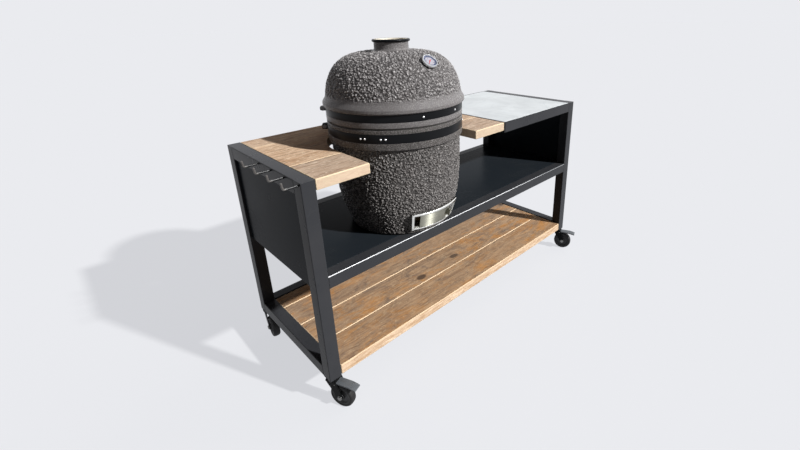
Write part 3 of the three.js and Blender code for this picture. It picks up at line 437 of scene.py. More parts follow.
# Coordinates of the part itself in metres, stretched per axis and shifted by a share per object
def coords(tree, scale=(1, 1, 1), shift=0.0):
    scaled = stretched(tree, node(tree, "TexCoord", {}, "Object"), scale)
    if not shift:
        return scaled
    share = node(tree, "ObjectInfo", {}, "Random")
    return maths(tree, "ADD", scaled, maths(tree, "MULTIPLY", share, shift), "VectorMath")


def noise(tree, vector, scale, detail=4.0, rough=0.55, warp=0.0):
    inputs = {"Vector": vector, "Scale": scale, "Detail": detail, "Roughness": rough, "Distortion": warp}
    return node(tree, "TexNoise", inputs, "Fac")


# Noise drawn out along the fibres
def drawn(tree, vector, along, across, detail, rough=0.55, warp=0.0, scale=1.0):
    return noise(tree, stretched(tree, vector, (along, across, across)), scale, detail, rough, warp)


def ramp(tree, value, stops):
    made = tree.nodes.new("ShaderNodeValToRGB")
    elements = made.color_ramp.elements
    while len(elements) < len(stops):
        elements.new(0.5)
    for element, (place, tint) in zip(elements, stops):
        element.position = place
        element.color = colour(*tint) if isinstance(tint, tuple) else (tint, tint, tint, 1.0)
    feed(tree, made.inputs["Fac"], value)
    return made.outputs["Color"]


def mix(tree, share, first, second):
    made = tree.nodes.new("ShaderNodeMix")
    made.data_type = "RGBA"
    feed(tree, made.inputs["Factor"], share)
    feed(tree, made.inputs["A"], first)
    feed(tree, made.inputs["B"], second)
    colours = [socket for socket in made.outputs if socket.type == "RGBA"]
    return colours[0]


def spread(tree, value, low, high, to_low=0.0, to_high=1.0):
    inputs = {"Value": value, "From Min": low, "From Max": high, "To Min": to_low, "To Max": to_high}
    return node(tree, "MapRange", inputs)


# A noise's usual span, brought between two values or two colours
def between(tree, field, low, high):
    return spread(tree, field, 0.3, 0.7, low, high)


def shades(tree, field, deep, pale):
    return ramp(tree, field, [(0.3, deep), (0.7, pale)])


def bump(tree, height, strength, distance, normal=None):
    inputs = {"Height": height, "Strength": strength, "Distance": distance * MM}
    if normal:
        inputs["Normal"] = normal
    return node(tree, "Bump", inputs)


# Powder coat: smooth satin with faint dust and a trace of orange peel
def powder_coat(name, tint, dusty, rough, shine):
    material, tree, shader = blank(name, {"Specular IOR Level": shine})
    grain = noise(tree, coords(tree), 700, 2)
    patches = noise(tree, coords(tree), 6, 5, 0.6)
    tint = mix(tree, spread(tree, patches, 0.45, 0.8, 0, 0.6), tint, dusty)
    rough = between(tree, patches, rough - 0.03, rough + 0.05)
    finish(tree, shader, tint, rough, bump(tree, grain, 0.03, COAT_GRAIN))
    return material


# Painted highlight: the coat painted bright along an arris as a painted glint, less so towards its right
# end
def painted_glint_arris(name, painted_glint, dim_glint):
    material, tree, shader = blank(name, {"Roughness": 0.3})
    along = node(tree, "SeparateXYZ", {"Vector": coords(tree)}, "X")
    patches = noise(tree, coords(tree), 30, 4)
    first, last = GLINT_FADE_SPAN
    # The painted glint dims along X over its span
    wear_and_glint = mix(tree, spread(tree, along, first * MM, last * MM, 0, 0.75), painted_glint, dim_glint)
    finish(tree, shader, mix(tree, spread(tree, patches, 0.5, 0.8, 0, 0.3), wear_and_glint, dim_glint))
    return material


# Hook coat, black, with a painted highlight: the outer end is painted pale grey as a painted glint
def hook_coat_painted_glint(name, coat, bare_and_glint):
    material, tree, shader = blank(name, {"Specular IOR Level": 0.3})
    along = node(tree, "SeparateXYZ", {"Vector": coords(tree)}, "X")
    start = table_corner.x - HOOK_GLINT_FROM * MM
    wander = HOOK_GLINT_WANDER * MM
    scuffs = noise(tree, coords(tree), 260, 4)
    # Noise makes the painted glint's edge ragged and varies the roughness
    edge = maths(tree, "ADD", along, between(tree, scuffs, -wander, wander))
    painted_glint = spread(tree, edge, start, start - HOOK_GLINT_FADE * MM)
    finish(tree, shader, mix(tree, painted_glint, coat, bare_and_glint), between(tree, scuffs, 0.25, 0.4))
    return material


# Weathered sawn wood: fibres along X, growth bands, rusty and grey stains, pale flecks, a few knots
def wood(name, tones, knot_size, stained):
    material, tree, shader = blank(name, {"Specular IOR Level": 0.15})
    along = coords(tree, shift=7.0)
    field = node(tree, "TexNoise", {"Vector": along, "Scale": 3.5, "Detail": 2.0}, "Color")
    centred = maths(tree, "SUBTRACT", field, (0.5, 0.5, 0.5), "VectorMath")
    bent = maths(tree, "ADD", along, stretched(tree, centred, (0.0, 0.04, 0.04)), "VectorMath")
    fibres = drawn(tree, bent, 5, 190, 7, 0.7)
    streaks = drawn(tree, bent, 8, 75, 7, 0.75, 0.3)
    bands = drawn(tree, bent, 1.4, 30, 4, 0.6, 0.3)
    flecks = drawn(tree, bent, 34, 90, 8, 0.82, 0.8)
    saw = drawn(tree, along, 330, 14, 3)
    rust = drawn(tree, along, 5, 12, 10, 0.78, 1.4)
    dirt = drawn(tree, along, 4, 9, 10, 0.8, 1.2, 1.3)
    clusters = drawn(tree, along, 1.7, 5, 3, 0.55, 0.6)
    stains = drawn(tree, along, 1.2, 5, 6, 0.7, 1.0)
    cells = {"Vector": stretched(tree, bent, (3.4, 6.0, 6.0)), "Scale": 1.0}
    knots = node(tree, "TexVoronoi", cells, "Distance")
    layers = [
        (stains, 0.42, 0.64, stained * 0.5, "dirt"),
        (rust, 0.46, 0.6, stained, "rust"),
        (dirt, 0.5, 0.66, stained, "dirt"),
        (fibres, 0.5, 0.7, 0.6, "dark"),
        (streaks, 0.5, 0.64, 0.95 - 0.5 * stained, "dark"),
        (flecks, 0.52, 0.62, 0.95 - 0.45 * stained, "pale"),
        (knots, knot_size, knot_size * 0.7, 0.8, "knot"),
    ]
    face = ramp(tree, bands, [(0.3, tones["mid"]), (0.52, tones["light"]), (0.72, tones["mid"])])
    for layer, low, high, most, tone in layers:
        share = spread(tree, layer, low, high, 0, most)
        if layer == rust:
            share = maths(tree, "MULTIPLY", share, spread(tree, clusters, 0.42, 0.56, 0.15, 1.0))
        face = mix(tree, share, face, tones[tone])
    upright = node(tree, "SeparateXYZ", {"Vector": node(tree, "TexCoord", {}, "Normal")}, "Z")
    flat = node(tree, "Math", {0: upright}, operation="ABSOLUTE")
    sawn = mix(tree, spread(tree, streaks, 0.4, 0.62), tones["edge"], tones["light"])
    side = mix(tree, spread(tree, flecks, 0.46, 0.6, 0, 0.6), sawn, tones["mid"])
    faced = mix(tree, spread(tree, flat, 0.35, 0.75), side, face)
    tone = node(tree, "ObjectInfo", {}, "Random")
    value = spread(tree, tone, 0, 1, 0.86, 1.08)
    fullness = spread(tree, tone, 0, 1, 0.82, 1.04)
    toned = node(tree, "HueSaturation", {"Color": faced, "Value": value, "Saturation": fullness})
    rough_cut = bump(tree, saw, 0.25, SAW_GRAIN, bump(tree, fibres, 0.6, FIBRE_GRAIN))
    normal = bump(tree, flecks, 0.35, SAW_GRAIN, rough_cut)
    finish(tree, shader, toned, between(tree, fibres, 0.65, 0.9), normal)
    return material


# Sawn arrises of the boards, paler than their faces: partly the bare sawn wood, partly a painted highlight
# along the edges
def sawn_edge_with_painted_glint(name, light, mid):
    material, tree, shader = blank(name, {"Roughness": 0.85})
    fibres = noise(tree, coords(tree, (3.0, 90.0, 90.0)), 2.0, 6)
    finish(tree, shader, shades(tree, fibres, mid, light), None, bump(tree, fibres, 0.4, EDGE_GRAIN))
    return material


# Porcelain: soft grey clouds and a few thin veins
def porcelain(name):
    material, tree, shader = blank(name, {"Specular IOR Level": 0.35})
    clouds = noise(tree, coords(tree), 5, 6, 0.6, 0.8)
    veins = noise(tree, coords(tree), 3.2, 5, 0.55, 1.2)
    line = ramp(tree, veins, [(0.485, 0.0), (0.5, 1.0), (0.515, 0.0)])
    body = ramp(tree, clouds, [(0.35, (208, 213, 215)), (0.65, (228, 233, 235))])
    tint = mix(tree, maths(tree, "MULTIPLY", line, 0.25), body, (176, 186, 190))
    finish(tree, shader, tint, between(tree, clouds, 0.34, 0.5))
    return material


# Glazed grill shell: satin glaze, darker in the grooves and paler on the pebbles' tops; partly the glaze
# lying deep and thin, partly painted shade in the grooves and painted light on the tops
def shell_glaze(name, groove, side, top):
    material, tree, shader = blank(name, {"Specular IOR Level": 0.16})
    raised = node(tree, "Attribute", {}, "Fac", attribute_name="relief")
    clouds = noise(tree, coords(tree), 14, 5, 0.6)
    speckle = noise(tree, coords(tree), 420, 4, 0.65)
    grain = noise(tree, coords(tree), 210, 5, 0.7)
    # Colour follows the relief: painted shade in the grooves, painted light on the pebbles' tops
    body = ramp(tree, raised, [(0.15, groove), (0.5, side), (0.85, top)])
    shaded = mix(tree, between(tree, clouds, 0, 0.3), body, (78, 72, 69))
    tint = mix(tree, spread(tree, speckle, 0.5, 0.66, 0, 0.6), shaded, (176, 172, 170))
    rounded = bump(tree, raised, 1.0, PEBBLE_SHADING)
    normal = bump(tree, grain, 0.9, GLAZE_GRAIN, rounded)
    finish(tree, shader, tint, between(tree, grain, 0.18, 0.34), normal)
    return material


# Bare or refractory clay: matt, pitted
def clay(name, pale, deep):
    material, tree, shader = blank(name, {"Specular IOR Level": 0.2})
    clouds = noise(tree, coords(tree), 18, 6, 0.6)
    pits = noise(tree, coords(tree), 380, 3)
    normal = bump(tree, pits, 0.3, CLAY_GRAIN)
    finish(tree, shader, shades(tree, clouds, deep, pale), between(tree, pits, 0.7, 0.9), normal)
    return material


# Metals: streaks run along the axis whose scale is small; brushed round, light spreads upright
def brushed(name, tint, rough, stretch, depth=0.08, upright=0.0):
    material, tree, shader = blank(name, {"Metallic": 1.0, "Anisotropic": upright})
    if upright:
        feed(tree, shader.inputs["Tangent"], node(tree, "CombineXYZ", {"X": 0.0, "Y": 0.0, "Z": 1.0}))
    streaks = noise(tree, coords(tree, stretch), 1.0, 4, 0.6)
    smudges = noise(tree, coords(tree), 30, 4, 0.6)
    tint = mix(tree, spread(tree, smudges, 0.4, 0.8, 0, 0.35), tint, (120, 118, 112))
    rough = between(tree, streaks, rough - 0.05, rough + 0.12)
    finish(tree, shader, tint, rough, bump(tree, streaks, depth, BRUSH_GRAIN))
    return material


def cast_iron(name):
    material, tree, shader = blank(name, {"Metallic": 0.6, "Roughness": 0.65})
    sand = noise(tree, coords(tree), 500, 4, 0.6)
    tint = shades(tree, sand, (30, 29, 28), (62, 58, 55))
    finish(tree, shader, tint, None, bump(tree, sand, 0.4, CAST_GRAIN))
    return material


def felt(name):
    material, tree, shader = blank(name, {"Roughness": 0.95, "Sheen Weight": 0.3})
    fuzz = noise(tree, coords(tree), 1400, 5, 0.7)
    tint = shades(tree, fuzz, (22, 20, 19), (58, 54, 50))
    finish(tree, shader, tint, None, bump(tree, fuzz, 0.6, FELT_GRAIN))
    return material


def plastic(name, tint, wear_and_glint, rough):
    material, tree, shader = blank(name, {"Specular IOR Level": 0.4})
    grain = noise(tree, coords(tree), 800, 3)
    scuffs = noise(tree, coords(tree), 60, 5, 0.65)
    tint = mix(tree, spread(tree, scuffs, 0.5, 0.8), tint, wear_and_glint)
    rough = between(tree, scuffs, rough, rough + 0.15)
    finish(tree, shader, tint, rough, bump(tree, grain, 0.15, PLASTIC_GRAIN))
    return material


def enamel(name, tint, wear_and_glint):
    material, tree, shader = blank(name, {"Roughness": 0.35})
    mottling = noise(tree, coords(tree), 300, 3)
    finish(tree, shader, mix(tree, spread(tree, mottling, 0.4, 0.8, 0, 0.4), tint, wear_and_glint))
    return material


TOP_TONES = {
    "light": (222, 192, 162), "mid": (198, 164, 134), "dark": (128, 98, 78), "rust": (192, 148, 110),
    "dirt": (152, 128, 106), "pale": (246, 226, 198), "knot": (104, 78, 58), "edge": (212, 190, 156),
}
LOWER_TONES = {
    "light": (186, 152, 118), "mid": (166, 130, 96), "dark": (96, 74, 58), "rust": (194, 134, 68),
    "dirt": (126, 108, 94), "pale": (214, 186, 150), "knot": (70, 58, 50), "edge": (228, 204, 176),
}

MATERIALS = {
    "frame": powder_coat("frame_coat", (54, 55, 58), (63, 63, 65), 0.27, 0.06),
    "sheet": powder_coat("sheet_coat", (35, 40, 45), (44, 47, 50), 0.24, 0.016),
    "glint": painted_glint_arris("rail_edge_coat", (222, 224, 226), (84, 87, 90)),
    "black": powder_coat("black_coat", (16, 17, 18), (24, 25, 26), 0.35, 0.2),
    "top_wood": wood("top_wood", TOP_TONES, 0.09, 0.45),
    "top_edge": sawn_edge_with_painted_glint("top_wood_edge", (236, 216, 184), (214, 190, 156)),
    "lower_wood": wood("lower_wood", LOWER_TONES, 0.12, 1.0),
    "lower_edge": sawn_edge_with_painted_glint("lower_wood_edge", (226, 200, 166), (204, 176, 142)),
    "tile": porcelain("porcelain"),
    "lid_glaze": shell_glaze("lid_glaze", (52, 50, 51), (124, 121, 121), (204, 201, 201)),
    "base_glaze": shell_glaze("base_glaze", (36, 34, 33), (88, 85, 83), (156, 152, 150)),
    "bare_and_glint": clay("bare_ceramic", (240, 235, 220), (222, 213, 194)),
    "fireclay": clay("fireclay", (214, 196, 164), (176, 154, 122)),
    "band": powder_coat("band_coat", (20, 21, 23), (30, 31, 33), 0.3, 0.08),
    "bolt": brushed("bolt_steel", (214, 214, 214), 0.2, (300, 300, 300)),
    "black_bolt": brushed("black_bolt", (70, 70, 72), 0.3, (300, 300, 300)),
    "hook": hook_coat_painted_glint("hook_coat_painted_glint", (14, 15, 16), (88, 85, 83)),
    "fork": powder_coat("caster_coat", (16, 17, 18), (28, 27, 26), 0.4, 0.06),
    "axle": brushed("axle_zinc", (120, 120, 119), 0.35, (300, 300, 300)),
    "tyre": plastic("tyre_rubber", (14, 14, 15), (34, 32, 30), 0.6),
    "hub": plastic("hub_plastic", (20, 20, 21), (34, 33, 32), 0.45),
    "pedal": plastic("pedal_plastic", (92, 96, 100), (74, 74, 73), 0.5),
    "iron": cast_iron("cast_iron"),
    "felt": felt("gasket_felt"),
    "spring": brushed("spring_steel", (140, 140, 140), 0.3, (500, 500, 500)),
    "stainless": brushed("stainless", (150, 149, 137), 0.36, (16, 16, 900), 0.015, 1.0),
    "rail": brushed("polished_rail", (236, 236, 232), 0.16, (16, 16, 400), 0.01),
    # The vent's plates get a darker steel: painted shade and painted dark reflection
    "plate": brushed("vent_plate_painted_shade", (96, 96, 94), 0.3, (16, 16, 400), 0.02),
    "chrome": brushed("gauge_chrome", (226, 228, 230), 0.1, (200, 200, 200), 0.01),
    "dial": enamel("dial_face", (160, 158, 168), (130, 128, 140)),
    "dial_ring": enamel("dial_ring", (26, 44, 84), (40, 58, 96)),
    "ink": enamel("dial_ink", (24, 26, 32), (36, 38, 44)),
    "needle": enamel("needle_red", (186, 42, 34), (150, 34, 28)),
}

# Which finish each CAD node shows
SLOTS = {row["node"]: row["material_slot"] for row in frame["record"]["subparts"]}


# Pieces: every visible object rides on its node's body and stands for that node
def stand_for(piece, name):
    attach(piece, frame["nodes"][name]["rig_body"])
    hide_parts(name)


def smooth(piece, angle=SMOOTH_ANGLE):
    piece.data.shade_smooth()
    piece.data.set_sharp_from_angle(angle=math.radians(angle))


def bevelled(piece, width, edge_material=None):
    cut = piece.modifiers.new("edges", "BEVEL")
    cut.width = width * MM
    cut.segments = EDGE_STEPS
    cut.limit_method = "ANGLE"
    cut.angle_limit = math.radians(SMOOTH_ANGLE)
    cut.harden_normals = True
    if edge_material is not None:
        cut.material = edge_material


def placed(name, data):
    made = bpy.data.objects.new(name, data)
    bpy.context.scene.collection.objects.link(made)
    return made


def merged(mesh):
    work = bmesh.new()
    work.from_mesh(mesh)
    bmesh.ops.remove_doubles(work, verts=work.verts, dist=MERGE_DISTANCE * MM)
    return work


def written(work, mesh):
    work.to_mesh(mesh)
    work.free()


# Points in millimetres round an origin in metres; a placing matrix may turn them first
def mesh_piece(name, points, faces, materials, origin=GRILL, turn=None, kinds=None, relief=None):
    places = np.asarray(points, float)
    if turn is not None:
        places = places @ np.array(turn.to_3x3()).T + np.array(turn.to_translation())
    places = places * MM + np.array(origin)
    mesh = bpy.data.meshes.new(name)
    mesh.from_pydata(places.tolist(), [], faces)
    for key in materials:
        mesh.materials.append(MATERIALS[key])
    if kinds is not None:
        mesh.polygons.foreach_set("material_index", kinds)
    if relief is not None:
        mesh.attributes.new("relief", "FLOAT", "POINT").data.foreach_set("value", relief)
    piece = placed(name, mesh)
    work = merged(mesh)
    bmesh.ops.recalc_face_normals(work, faces=work.faces)
    written(work, mesh)
    smooth(piece)
    return piece


# Several closed shapes as one list of points and faces
def joined(*shapes):
    points, faces = [], []
    for shape_points, shape_faces in shapes:
        start = len(points)
        points.extend(tuple(point) for point in shape_points)
        faces.extend([start + index for index in face] for face in shape_faces)
    return points, faces


# A piece made of closed shapes, its edges rounded if a width is given, in place of a CAD node
def show(look, name, key, shapes, edges=0, origin=GRILL, turn=None):
    piece = mesh_piece(look + "_look", *joined(*shapes), [key], origin, turn)
    if edges:
        bevelled(piece, edges)
    stand_for(piece, name)


def moved(shape, matrix):
    points, faces = shape
    return [tuple(matrix @ Vector(point)) for point in points], faces


# An outline of [radius, height] points turned about Z; a closed outline makes a ring
def lathe(outline, steps=96, closed=True):
    count = len(outline)
    points, faces = [], []
    for i in range(steps):
        angle = 360 * i / steps
        points.extend(on_circle(radius, angle, height) for radius, height in outline)
    for i in range(steps):
        following = (i + 1) % steps
        for j in range(count if closed else count - 1):
            k = (j + 1) % count
            faces.append([i * count + j, following * count + j, following * count + k, i * count + k])
    return points, faces


# A closed outline of [radius, height] points swept round Z between two angles
def arc_sweep(outline, first, last, pitch=1.0):
    steps = max(1, math.ceil((last - first) / pitch))
    count = len(outline)
    points, faces = [], []
    for i in range(steps + 1):
        angle = first + (last - first) * i / steps
        points.extend(on_circle(radius, angle, height) for radius, height in outline)
    for i in range(steps):
        for j in range(count):
            k = (j + 1) % count
            faces.append([i * count + j, (i + 1) * count + j, (i + 1) * count + k, i * count + k])
    faces.append(list(range(count)))
    faces.append([steps * count + j for j in reversed(range(count))])
    return points, faces


# A closed outline of (u, v) points pushed along X, Y or Z
def prism(axis, outline, start, end):
    orders = {"x": (2, 0, 1), "y": (0, 2, 1), "z": (0, 1, 2)}
    count = len(outline)
    points = []
    for along in (start, end):
        for u, v in outline:
            values = (u, v, along)
            points.append(tuple(values[i] for i in orders[axis]))
    faces = [[j, (j + 1) % count, count + (j + 1) % count, count + j] for j in range(count)]
    faces.append(list(range(count)))
    faces.append([count + j for j in reversed(range(count))])
    return points, faces


def rectangle(left, right, low, high):
    return [(left, low), (right, low), (right, high), (left, high)]


def block(low, high):
    return prism("z", rectangle(low[0], high[0], low[1], high[1]), low[2], high[2])


def round_outline(u, v, radius, steps, first=0.0, last=360.0):
    full = abs(last - first) >= 360
    share = [i / steps for i in range(steps if full else steps + 1)]
    angles = [math.radians(first + (last - first) * s) for s in share]
    return [(u + radius * math.cos(angle), v + radius * math.sin(angle)) for angle in angles]


# A half profile and its mirror image below the middle
def mirrored(half):
    return half + [(radius, -height) for radius, height in reversed(half)]


# A curve from start past a corner to end, in even steps of its share
def bend(start, corner, end, steps):
    shares = [i / steps for i in range(steps + 1)]
    return [start * (1 - t) ** 2 + corner * 2 * t * (1 - t) + end * t**2 for t in shares]


# An outline with its corners rounded by a radius, or by as much as its sides allow
def filleted(outline, radius, steps=3):
    result = []
    count = len(outline)
    for i in range(count):
        before, here, after = (Vector(outline[(i + k) % count]) for k in (-1, 0, 1))
        back, ahead = before - here, after - here
        reach = min(radius, back.length / 2, ahead.length / 2)
        start, end = here + back.normalized() * reach, here + ahead.normalized() * reach
        result.extend((point.x, point.y) for point in bend(start, here, end, steps))
    return result


# A round rod along a path of points, with a radius per point
def rod(path, radii, sides=16):
    points, faces = [], []
    spots = [Vector(p) for p in path]
    side = None
    for i, spot in enumerate(spots):
        along = (spots[min(i + 1, len(spots) - 1)] - spots[max(i - 1, 0)]).normalized()
        if side is None:
            side = along.orthogonal().normalized()
        side = (side - along * side.dot(along)).normalized()
        other = along.cross(side)
        for j in range(sides):
            angle = 2 * math.pi * j / sides
            points.append(tuple(spot + (side * math.cos(angle) + other * math.sin(angle)) * radii[i]))
    for i in range(len(spots) - 1):
        for j in range(sides):
            k = (j + 1) % sides
            faces.append([i * sides + j, i * sides + k, (i + 1) * sides + k, (i + 1) * sides + j])
    faces.append(list(reversed(range(sides))))
    faces.append([(len(spots) - 1) * sides + j for j in range(sides)])
    return points, faces


# A rod along X or along Y at a place given by its other two coordinates
def bar_x(start, end, y, z, radius, sides=24):
    return rod([(start, y, z), (end, y, z)], [radius, radius], sides)


def bar_y(start, end, x, z, radius, sides=24):
    return rod([(x, start, z), (x, end, z)], [radius, radius], sides)


# A copy of a CAD node with clean flat faces and rounded edges
def dressed(name, key, width, edge_key=None, arris_key=None):
    piece = placed(name + "_look", frame["nodes"][name].data.copy())
    piece.data.materials.clear()
    piece.data.materials.append(MATERIALS[key])
    work = merged(piece.data)
    flat = math.radians(FLAT_ANGLE)
    bmesh.ops.dissolve_limit(work, angle_limit=flat, verts=work.verts, edges=work.edges)
    # Faces of the arris that face up and forward get the painted highlight material
    low, high = ARRIS_UP_SHARES
    for face in work.faces:
        sloped = low < face.normal.z < high and face.normal.y < ARRIS_FRONT_SHARE
        face.material_index = 1 if arris_key and sloped else 0
    written(work, piece.data)
    if arris_key:
        piece.data.materials.append(MATERIALS[arris_key])
    smooth(piece)
    edge_index = None
    if edge_key:
        piece.data.materials.append(MATERIALS[edge_key])
        edge_index = 1
    bevelled(piece, width, edge_index)
    evened = piece.modifiers.new("flats", "WEIGHTED_NORMAL")
    evened.keep_sharp = True
    stand_for(piece, name)


def build_frame():
    for name, slot in SLOTS.items():
        if slot == "frame_steel":
            coat = "black" if name == "top_divider" else "frame"
            # The shelf's front rail gets a painted highlight along its upper front arris
            dressed(name, coat, TUBE_BEVEL, None, "glint" if name == "shelf_front_rail" else None)
    for name in ("end_panel_left", "end_panel_right", "mid_shelf"):
        dressed(name, "sheet", SHEET_BEVEL)


def build_boards():
    for name, slot in SLOTS.items():
        if slot in ("top_wood", "lower_wood"):
            # Their rounded arrises take the paler edge wood, partly a painted highlight
            dressed(name, slot, BOARD_BEVEL, slot.replace("wood", "edge"))
    dressed("worktop_tile", "tile", TILE_BEVEL)


# Tool hooks: round rods with an upturned, rounded tip
def build_hooks():
    for name in [name for name in SLOTS if name.startswith("hook_")]:
        low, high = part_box(name)
        y = ((low.y + high.y) / 2 - table_corner.y) / MM
        start, corner = Vector((0, y, HOOK_HEIGHT)), Vector((-HOOK_REACH, y, HOOK_HEIGHT))
        tip = corner + Vector((-HOOK_LEAN, 0, HOOK_RISE))
        before = corner + Vector((HOOK_BEND, 0, 0))
        after = corner + Vector((-HOOK_BEND_LEAN, 0, HOOK_BEND))
        path = [start, *bend(before, corner, after, HOOK_BEND_STEPS)]
        radii = [HOOK_RADIUS] * len(path)
        rise = (tip - after).normalized()
        for back, radius in HOOK_TIP:
            path.append(tip - rise * back)
            radii.append(radius)
        show(name, name, "hook", [rod(path, radii)], origin=table_corner)


# Casters
def build_fork(corner, place, turn, braked):
    arm = [(CROWN_BACK, -HEAD_HEIGHT), (CROWN_FRONT, -HEAD_HEIGHT)]
    arm += round_outline(-TRAIL, -AXLE_DROP, AXLE_EYE, 16, 180, 360)
    crown = filleted(rectangle(-ARM_OUTER, ARM_OUTER, CROWN_FRONT, CROWN_BACK), CROWN_FILLET)
    shapes = [
        lathe(HEAD_PROFILE, 48, False),
        prism("z", crown, *CROWN_SPAN),
        prism("x", arm, -ARM_OUTER, -ARM_INNER),
        prism("x", arm, ARM_INNER, ARM_OUTER),
        lathe(STEM_PROFILE, 24, False),
    ]
    name = f"caster_fork_{corner}"
    show(name, name, "fork", shapes, FORK_BEVEL, place, turn)
    head, washer, past = (ARM_OUTER + out for out in (AXLE_HEAD_OUT, WASHER_THICKNESS, AXLE_PAST))
    hexagon = round_outline(-TRAIL, -AXLE_DROP, AXLE_HEAD, 6)
    bolts = [bar_x(-past, past, -TRAIL, -AXLE_DROP, AXLE_RADIUS)]
    for start, end in ((-head, -washer), (washer, head)):
        bolts.append(prism("x", hexagon, start, end))
    for start, end in ((-washer, -ARM_OUTER), (ARM_OUTER, washer)):
        bolts.append(bar_x(start, end, -TRAIL, -AXLE_DROP, WASHER_RADIUS))
    if braked:
        bolts.append(bar_x(-past, past, *PEDAL_PIVOT, PEDAL_PIN))
    show(f"caster_axle_{corner}", name, "axle", bolts, AXLE_BEVEL, place, turn)


def build_wheel(corner, place, turn):
    lay = turn @ Matrix.Translation((0, -TRAIL, -AXLE_DROP)) @ turned("Y", 90)
    tread = filleted(mirrored(TREAD_PROFILE), TREAD_FILLET)
    hub = filleted(mirrored(HUB_PROFILE), HUB_FILLET)
    name = f"caster_wheel_{corner}"
    show(f"caster_tyre_{corner}", name, "tyre", [lathe(tread, 96)], 0, place, lay)
    show(f"caster_hub_{corner}", name, "hub", [lathe(hub, 72)], 0, place, lay)


def build_pedal(corner, place, turn):
    outline = round_outline(*PEDAL_PIVOT, PEDAL_EYE, 12, -90, 90) + PEDAL_PROFILE
    shapes = [prism("x", outline, -PEDAL_HALF, PEDAL_HALF)]
    for y in RIB_PLACES:
        low, high = (height + (y + RIB_ROOT) * RIB_SLOPE_SHARE for height in RIB_HEIGHTS)
        shapes.append(block((-RIB_HALF, y, low), (RIB_HALF, y + RIB_WIDTH, high)))
    name = f"brake_pedal_{corner}"
    show(name, name, "pedal", shapes, PEDAL_BEVEL, place, turn)


def build_casters():
    for corner, angle in CASTERS.items():
        low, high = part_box(f"post_{corner}")
        place = Vector(((low.x + high.x) / 2, (low.y + high.y) / 2, low.z))
        turn = turned("Z", angle)
        braked = corner.startswith("front")
        build_fork(corner, place, turn, braked)
        build_wheel(corner, place, turn)
        if braked:
            build_pedal(corner, place, turn)


# Shell profile
def body_radius(height):
    if height <= CONE_HEIGHT:
        share = (height - FOOT_HEIGHT) / (CONE_HEIGHT - FOOT_HEIGHT)
        return FOOT_RADIUS + share * (CONE_RADIUS - FOOT_RADIUS)
    share = (height - CONE_HEIGHT) / (FLANGE_LOW - CONE_HEIGHT)
    return CONE_RADIUS + (BODY_RADIUS - CONE_RADIUS) * (1 - (1 - share) ** 3)


def dome_radius(share, foot):
    return foot * (1 - share ** DOME_POWERS[0]) ** DOME_POWERS[1]


# Evenly spaced points along a curve given as a function of a share from 0 to 1
def even_points(curve, fine=2000):
    dense = np.array([curve(i / fine) for i in range(fine + 1)])
    lengths = np.concatenate([[0], np.cumsum(np.hypot(*np.diff(dense, axis=0).T))])
    count = max(2, round(lengths[-1] / ROW_PITCH))
    wanted = np.linspace(0, lengths[-1], count + 1)
    return np.stack([np.interp(wanted, lengths, dense[:, k]) for k in (0, 1)], axis=1)


def body_points(low, high):
    def curve(share):
        height = low + share * (high - low)
        return (body_radius(height), height)

    return even_points(curve)


def line_points(start, end):
    return even_points(lambda share: [a + (b - a) * share for a, b in zip(start, end)])


# A point of the dome, or of its inside, for a share from the dome's foot to near its middle
def dome_point(share, top_share, inset):
    up = math.sin(share * math.pi / 2) * top_share
    return (dome_radius(up, DOME_RADIUS - inset), DOME_LOW + up * (DOME_RISE - inset))


# Pebbles: rounded cells with dark grooves between them, from scattered points in space
def pebble_height(places):
    scaled = places / np.array([PEBBLE_SIZE, PEBBLE_SIZE, PEBBLE_SIZE / PEBBLE_FLATTEN])
    wobble = np.sin(scaled * 1.9 + np.roll(scaled, 1, axis=1) * 1.4) * 0.22
    scaled = scaled + wobble
    cell = np.floor(scaled).astype(np.int64)
    nearest = np.full(len(scaled), 9.0)
    second = np.full(len(scaled), 9.0)
    level = np.zeros(len(scaled))
    for dx, dy, dz in np.ndindex(3, 3, 3):
        other = cell + np.array([dx, dy, dz]) - 1
        scatter = scattered(other)
        gap = np.linalg.norm(other + scatter[:, :3] - scaled, axis=1)
        closer = gap < nearest
        second = np.where(closer, nearest, np.minimum(second, gap))
        level = np.where(closer, scatter[:, 3], level)
        nearest = np.where(closer, gap, nearest)
    rounded = np.exp(-((nearest / 0.55) ** 2))
    groove = 1 - np.exp(-5 * (second - nearest))
    return (0.85 * rounded + 0.15 * groove) * (0.7 + 0.3 * level)


# Four repeatable values from 0 to 1 for each cell
def scattered(cell):
    first, second, third = (cell[:, i] * prime for i, prime in enumerate(SCATTER_PRIMES))
    mixed = first ^ second ^ third
    values = []
    for k in range(4):
        hashed = (mixed + k * SCATTER_STRIDE) & SCATTER_MASK
        for shift, factor in SCATTER_ROUNDS:
            hashed = ((hashed ^ (hashed >> shift)) * factor) & SCATTER_MASK
        values.append((hashed & SCATTER_RANGE) / SCATTER_RANGE)
    return np.stack(values, axis=1)


